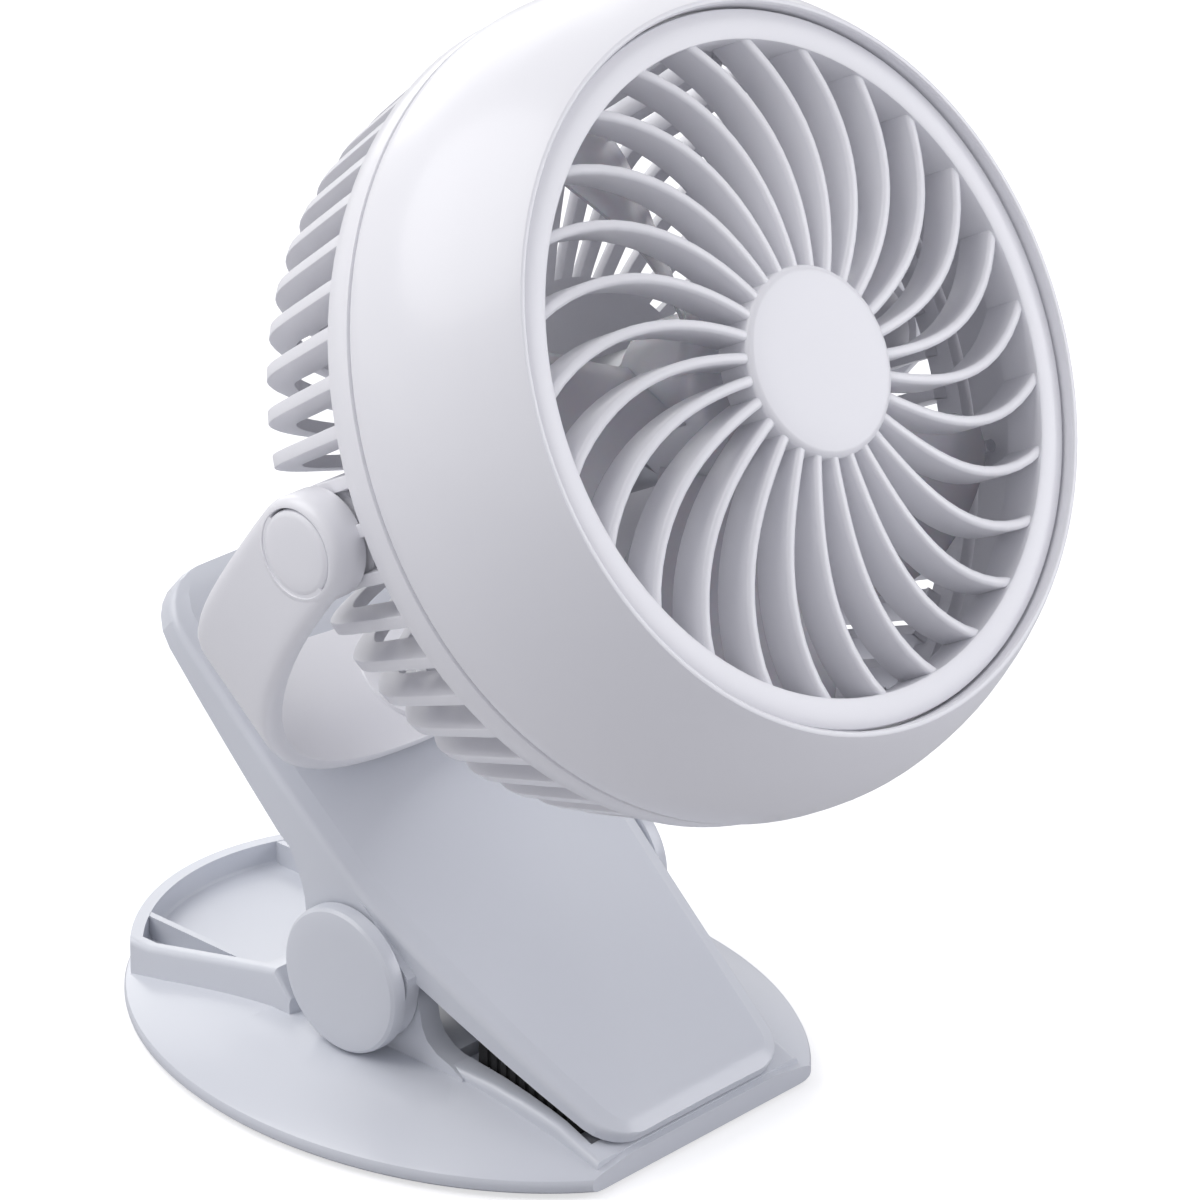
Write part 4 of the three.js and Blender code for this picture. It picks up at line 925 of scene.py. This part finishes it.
def buildFlange():
    size = footSizes
    edge, under, low, top = size["halfWidth"], size["under"], size["edge"], size["top"]
    slope, rise = edge - 1.3, (top - low) / math.tan(math.radians(size["slope"]))
    piece = turned("footShell", [
        (0, under), (edge - 1.5, under), (edge - 0.7, under + 0.15), (edge - 0.15, under + 0.7),
        (edge, under + 1.3), (edge - 0.02, low - 0.5), (edge - 0.3, low + 0.1), (edge - 1.1, low + 0.55),
        (slope - rise * 0.3, lerp(low, top, 0.32)), (slope - rise * 0.65, lerp(low, top, 0.66)),
        (slope - rise, top), (0, top),
    ], size["steps"])
    onlyPick(piece)
    piece.scale = (1, size["halfLength"] / size["halfWidth"], 1)
    piece.location = (0, size["centre"] * mm, 0)
    bpy.ops.object.transform_apply(location=True, rotation=True, scale=True)
    half = size["underJawHalf"]
    combine(piece, sideBlock("overJaw", size["underJaw"], -half, half * 2))
    return piece


def buildFoot():
    size = footSizes
    piece = buildFlange()
    stations = sorted({pair[0] for pair in size["tops"] + size["halves"]})
    body = skin("raisedBody", [bodyRing(y) for y in stations])
    combine(body, footBlock("bodyEdge", size["bodyInset"], -3, 40), "INTERSECT")
    combine(piece, body, "UNION")
    combine(piece, squareBlock("frontCut", 90, -120, size["front"], -5, 55))
    tray = footBlock("trayHollow", size["trayWall"] + size["bodyInset"], size["trayFloor"], 40)
    inner = size["halves"][-1][1] - size["trayWall"]
    combine(tray, squareBlock("traySides", inner, size["trayFront"], 80, 0, 60), "INTERSECT")
    bevelEdges(tray, size["trayBevel"], degrees=50)
    combine(piece, tray)
    ribSide = [(22, 6), (75, 6), (75, size["trayRibTop"]), (22, size["trayRibTop"])]
    for start, end in size["trayRibs"]:
        rib = sideBlock("trayRib", ribSide, start, end - start)
        combine(rib, footBlock("ribEnd", size["trayWall"], 0, 40), "INTERSECT")
        combine(piece, rib, "UNION")
    combine(piece, sideBlock("jawRecess", size["jaw"], -size["jawHalf"], size["jawHalf"] * 2))
    for side in bothSides:
        well = turned("capWell", [(0, 0), (size["well"], 0), (size["well"], 40), (0, 40)], 64)
        turnPiece(well, (0, 90 * side, 0), (side * size["wellAt"], 0, hingeSizes["height"]))
        combine(piece, well)
        combine(piece, buildLug(side), "UNION")
    bevelEdges(piece, size["bevel"], degrees=40)
    mendSkin(piece)
    finishPiece(piece, "paintedShadeWhite", "base", ["base_shell"], 28)


def buildLug(side):
    size = footSizes
    eye = arcPoints(0, hingeSizes["height"], size["lugRadius"], 150, 0, 14)
    outline = [(-24, 11)] + size["lugWeb"] + eye + [(9.3, 12.4), (9.3, 11)]
    piece = sideBlock("footLug", outline, side * size["lugAt"], side * size["lugWidth"])
    combine(piece, pinBore("lugHole", 8, side * 27))
    return piece


# Rubber of the jaws.
jawSizes = {
    "half": 24.0, "rear": -22.8, "stops": (9, 14, 20, 27), "beyond": 33, "under": 0.35, "lift": 0.63,
    "grooves": 9, "grooveFrom": -44, "grooveTo": -25.5, "grooveHalf": 0.45, "grooveDepth": 0.5, "bevel": 0.15,
    "lowerBevel": 0.12,
}


def jawTop(y):
    # The slope that the underside of the upper rubber follows, just over the lower one.
    return lerp(8.6, 13.4, (y + 45) / 33) - 0.1 + jawSizes["lift"]


def underArm(along):
    return armPoint(0, along, -armThickness(along) - jawSizes["under"])[1:]


def buildUpperJaw():
    size, half, rear = jawSizes, jawSizes["half"], jawSizes["rear"]
    back = [underArm(along) for along in size["stops"]]
    beyond = underArm(size["beyond"])
    share = (rear - back[-1][0]) / (beyond[0] - back[-1][0])
    back.append((rear, lerp(back[-1][1], beyond[1], share) - 0.1))
    front = back[0]
    under = [(front[0], max(jawTop(front[0]), front[1] - 1)), (rear, jawTop(rear))]
    piece = sideBlock("upperJawRubber", under + back[::-1], -half, half * 2)
    wide, deep = size["grooveHalf"], size["grooveDepth"]
    for row in range(size["grooves"]):
        y = lerp(size["grooveFrom"], size["grooveTo"], row / (size["grooves"] - 1))
        for side in bothSides:
            groove = squareBlock("rubberGroove", deep, y - wide, y + wide, 0, 40)
            combine(piece, turnPiece(groove, shift=(side * half, 0, 0)))
    bevelEdges(piece, size["bevel"], 2, 40)
    finishPiece(piece, "rubber", "arm", ["upper_jaw_pad"])


def buildLowerJaw():
    piece = copyNode("lower_jaw_pad", "lowerJawRubber")
    bevelEdges(piece, jawSizes["lowerBevel"], 2, 40)
    finishPiece(piece, "rubber", "base", ["lower_jaw_pad"])


# Carried over from the solids with softened edges: name, finish, body, slot and bevel.
softened = {
    # The cover and the lid take the darker white, which is painted shade.
    "base_cover": ("footCover", "paintedShadeWhite", "base", "shell_white", 0.3),
    "arm_lid": ("armLid", "paintedShadeWhite", "arm", "shell_white", 0.35),
    "rear_cover": ("rearCover", "white", "head", "shell_white", 0.2),
    "power_button": ("powerButton", "button", "button", "button_white", 0.2),
    "motor_can": ("motorCan", "motor", "head", "motor_steel", 0.3),
    "usb_port": ("usbPort", "steel", "head", "steel", 0.1),
    "battery_cell": ("batteryCell", "wrap", "base", "battery_wrap", 0.3),
}


def buildSoftened():
    for node, (name, finish, body, slot, width) in softened.items():
        piece = copyNode(node, name)
        bevelEdges(piece, width, 2, 40)
        finishPiece(piece, finish, body, [node])


for build in (buildHousing, buildFrontGrille, buildRearGrille, buildRotor, buildYoke, buildTiltCaps, buildArm,
              buildHingeCaps, buildFoot, buildUpperJaw, buildLowerJaw, buildSoftened):
    build()
    print("made", build.__name__)


# Camera, fitted to the circles of the head in the photograph.
camera = {
    "azimuth": -47.6, "height": 24.1, "roll": 0.8, "lens": 165.0, "sensor": 36.0,
    "place": (-0.6502, -0.6226, 0.4914), "near": 0.02, "far": 20,
}


def addCamera():
    turn, lift, roll = (math.radians(camera[key]) for key in ("azimuth", "height", "roll"))
    right = Vector((math.cos(turn), math.sin(turn), 0))
    back = Vector((math.sin(turn) * math.cos(lift), -math.cos(turn) * math.cos(lift), math.sin(lift)))
    up = back.cross(right)
    across = right * math.cos(roll) + up * math.sin(roll)
    above = up * math.cos(roll) - right * math.sin(roll)
    bpy.ops.object.camera_add()
    made = bpy.context.object
    made.data.lens = camera["lens"]
    made.data.sensor_width = camera["sensor"]
    made.data.clip_start = camera["near"]
    made.data.clip_end = camera["far"]
    facing = Matrix((across, above, back)).transposed().to_4x4()
    made.matrix_world = Matrix.Translation(camera["place"]) @ facing
    bpy.context.scene.camera = made


aimPoint = Vector((0, -0.02, 0.1))
lights = [
    {"place": (-0.65, 0.6, 1.3), "size": 1.5, "power": 15.2, "tone": (1.0, 0.995, 0.985)},
    {"place": (-1.3, -1.2, 0.6), "size": 1.2, "power": 1.8, "tone": (0.94, 0.96, 1.0)},
    {"place": (0.95, -0.95, 0.5), "size": 0.9, "power": 7.0, "tone": (0.97, 0.97, 1.0)},
    {"place": (0.6, 1.2, 0.7), "size": 1.0, "power": 3.5, "tone": (1.0, 1.0, 1.0)},
]


def addLights():
    for light in lights:
        bpy.ops.object.light_add(type="AREA", location=light["place"])
        lamp = bpy.context.object
        lamp.data.shape = "DISK"
        lamp.data.size = light["size"]
        lamp.data.energy = light["power"]
        lamp.data.color = light["tone"]
        aim = aimPoint - Vector(light["place"])
        lamp.rotation_euler = aim.to_track_quat("-Z", "Y").to_euler()


def addWorld():
    world = bpy.data.worlds.new("studio")
    bpy.context.scene.world = world
    world.use_nodes = True
    tree = world.node_tree
    background = tree.nodes["Background"]
    seen = tree.nodes.new("ShaderNodeBackground")
    seen.inputs["Color"].default_value = colour(1, 1, 1)
    background.inputs["Color"].default_value = colour(0.93, 0.93, 1.0)
    background.inputs["Strength"].default_value = 0.44
    path = tree.nodes.new("ShaderNodeLightPath")
    words = ("Camera", "Transmission", "Glossy")
    direct, through, gloss = (Value(tree, path.outputs["Is %s Ray" % word]) for word in words)
    white = direct.reckon("MAXIMUM", direct.reckon("MAXIMUM", direct, through), gloss)
    mix = tree.nodes.new("ShaderNodeMixShader")
    tree.links.new(white.socket, mix.inputs[0])
    tree.links.new(background.outputs[0], mix.inputs[1])
    tree.links.new(seen.outputs[0], mix.inputs[2])
    tree.links.new(mix.outputs[0], tree.nodes["World Output"].inputs["Surface"])


def addFloor():
    # Pale, and the whiter to the camera the further it is from the part.
    bpy.ops.object.select_all(action="DESELECT")
    bpy.ops.mesh.primitive_plane_add(size=6, location=(0, 0, -0.0002))
    floor = bpy.context.object
    floor.name = "floor"
    finish = Finish("paleFloor", {"Roughness": 0.6, "Specular IOR Level": 0.2})
    tones = colour(0.56, 0.56, 0.575), colour(0.54, 0.54, 0.555)
    finish.feed("Base Color", finish.blend(finish.noise(4.0), *tones))
    tree = finish.tree
    glow = tree.nodes.new("ShaderNodeEmission")
    path = tree.nodes.new("ShaderNodeLightPath")
    mix = tree.nodes.new("ShaderNodeMixShader")
    tree.links.new(path.outputs["Is Camera Ray"], mix.inputs[0])
    add = tree.nodes.new("ShaderNodeAddShader")
    distance = finish.node("ShaderNodeVectorMath", {"operation": "LENGTH"}, {0: finish.place}, "Value")
    far = finish.ramp(distance * 0.5, low=0.2, high=0.9)
    tree.links.new(finish.blend(far, colour(0.62, 0.62, 0.62), colour(1, 1, 1)).socket, glow.inputs["Color"])
    tree.links.new(finish.shader.outputs[0], mix.inputs[1])
    tree.links.new(finish.shader.outputs[0], add.inputs[0])
    tree.links.new(glow.outputs[0], add.inputs[1])
    tree.links.new(add.outputs[0], mix.inputs[2])
    tree.links.new(mix.outputs[0], tree.nodes["Material Output"].inputs["Surface"])
    floor.data.materials.append(finish.material)


bpy.context.scene.view_settings.view_transform = "Standard"
addCamera()
addLights()
addWorld()
addFloor()
print("studio set")
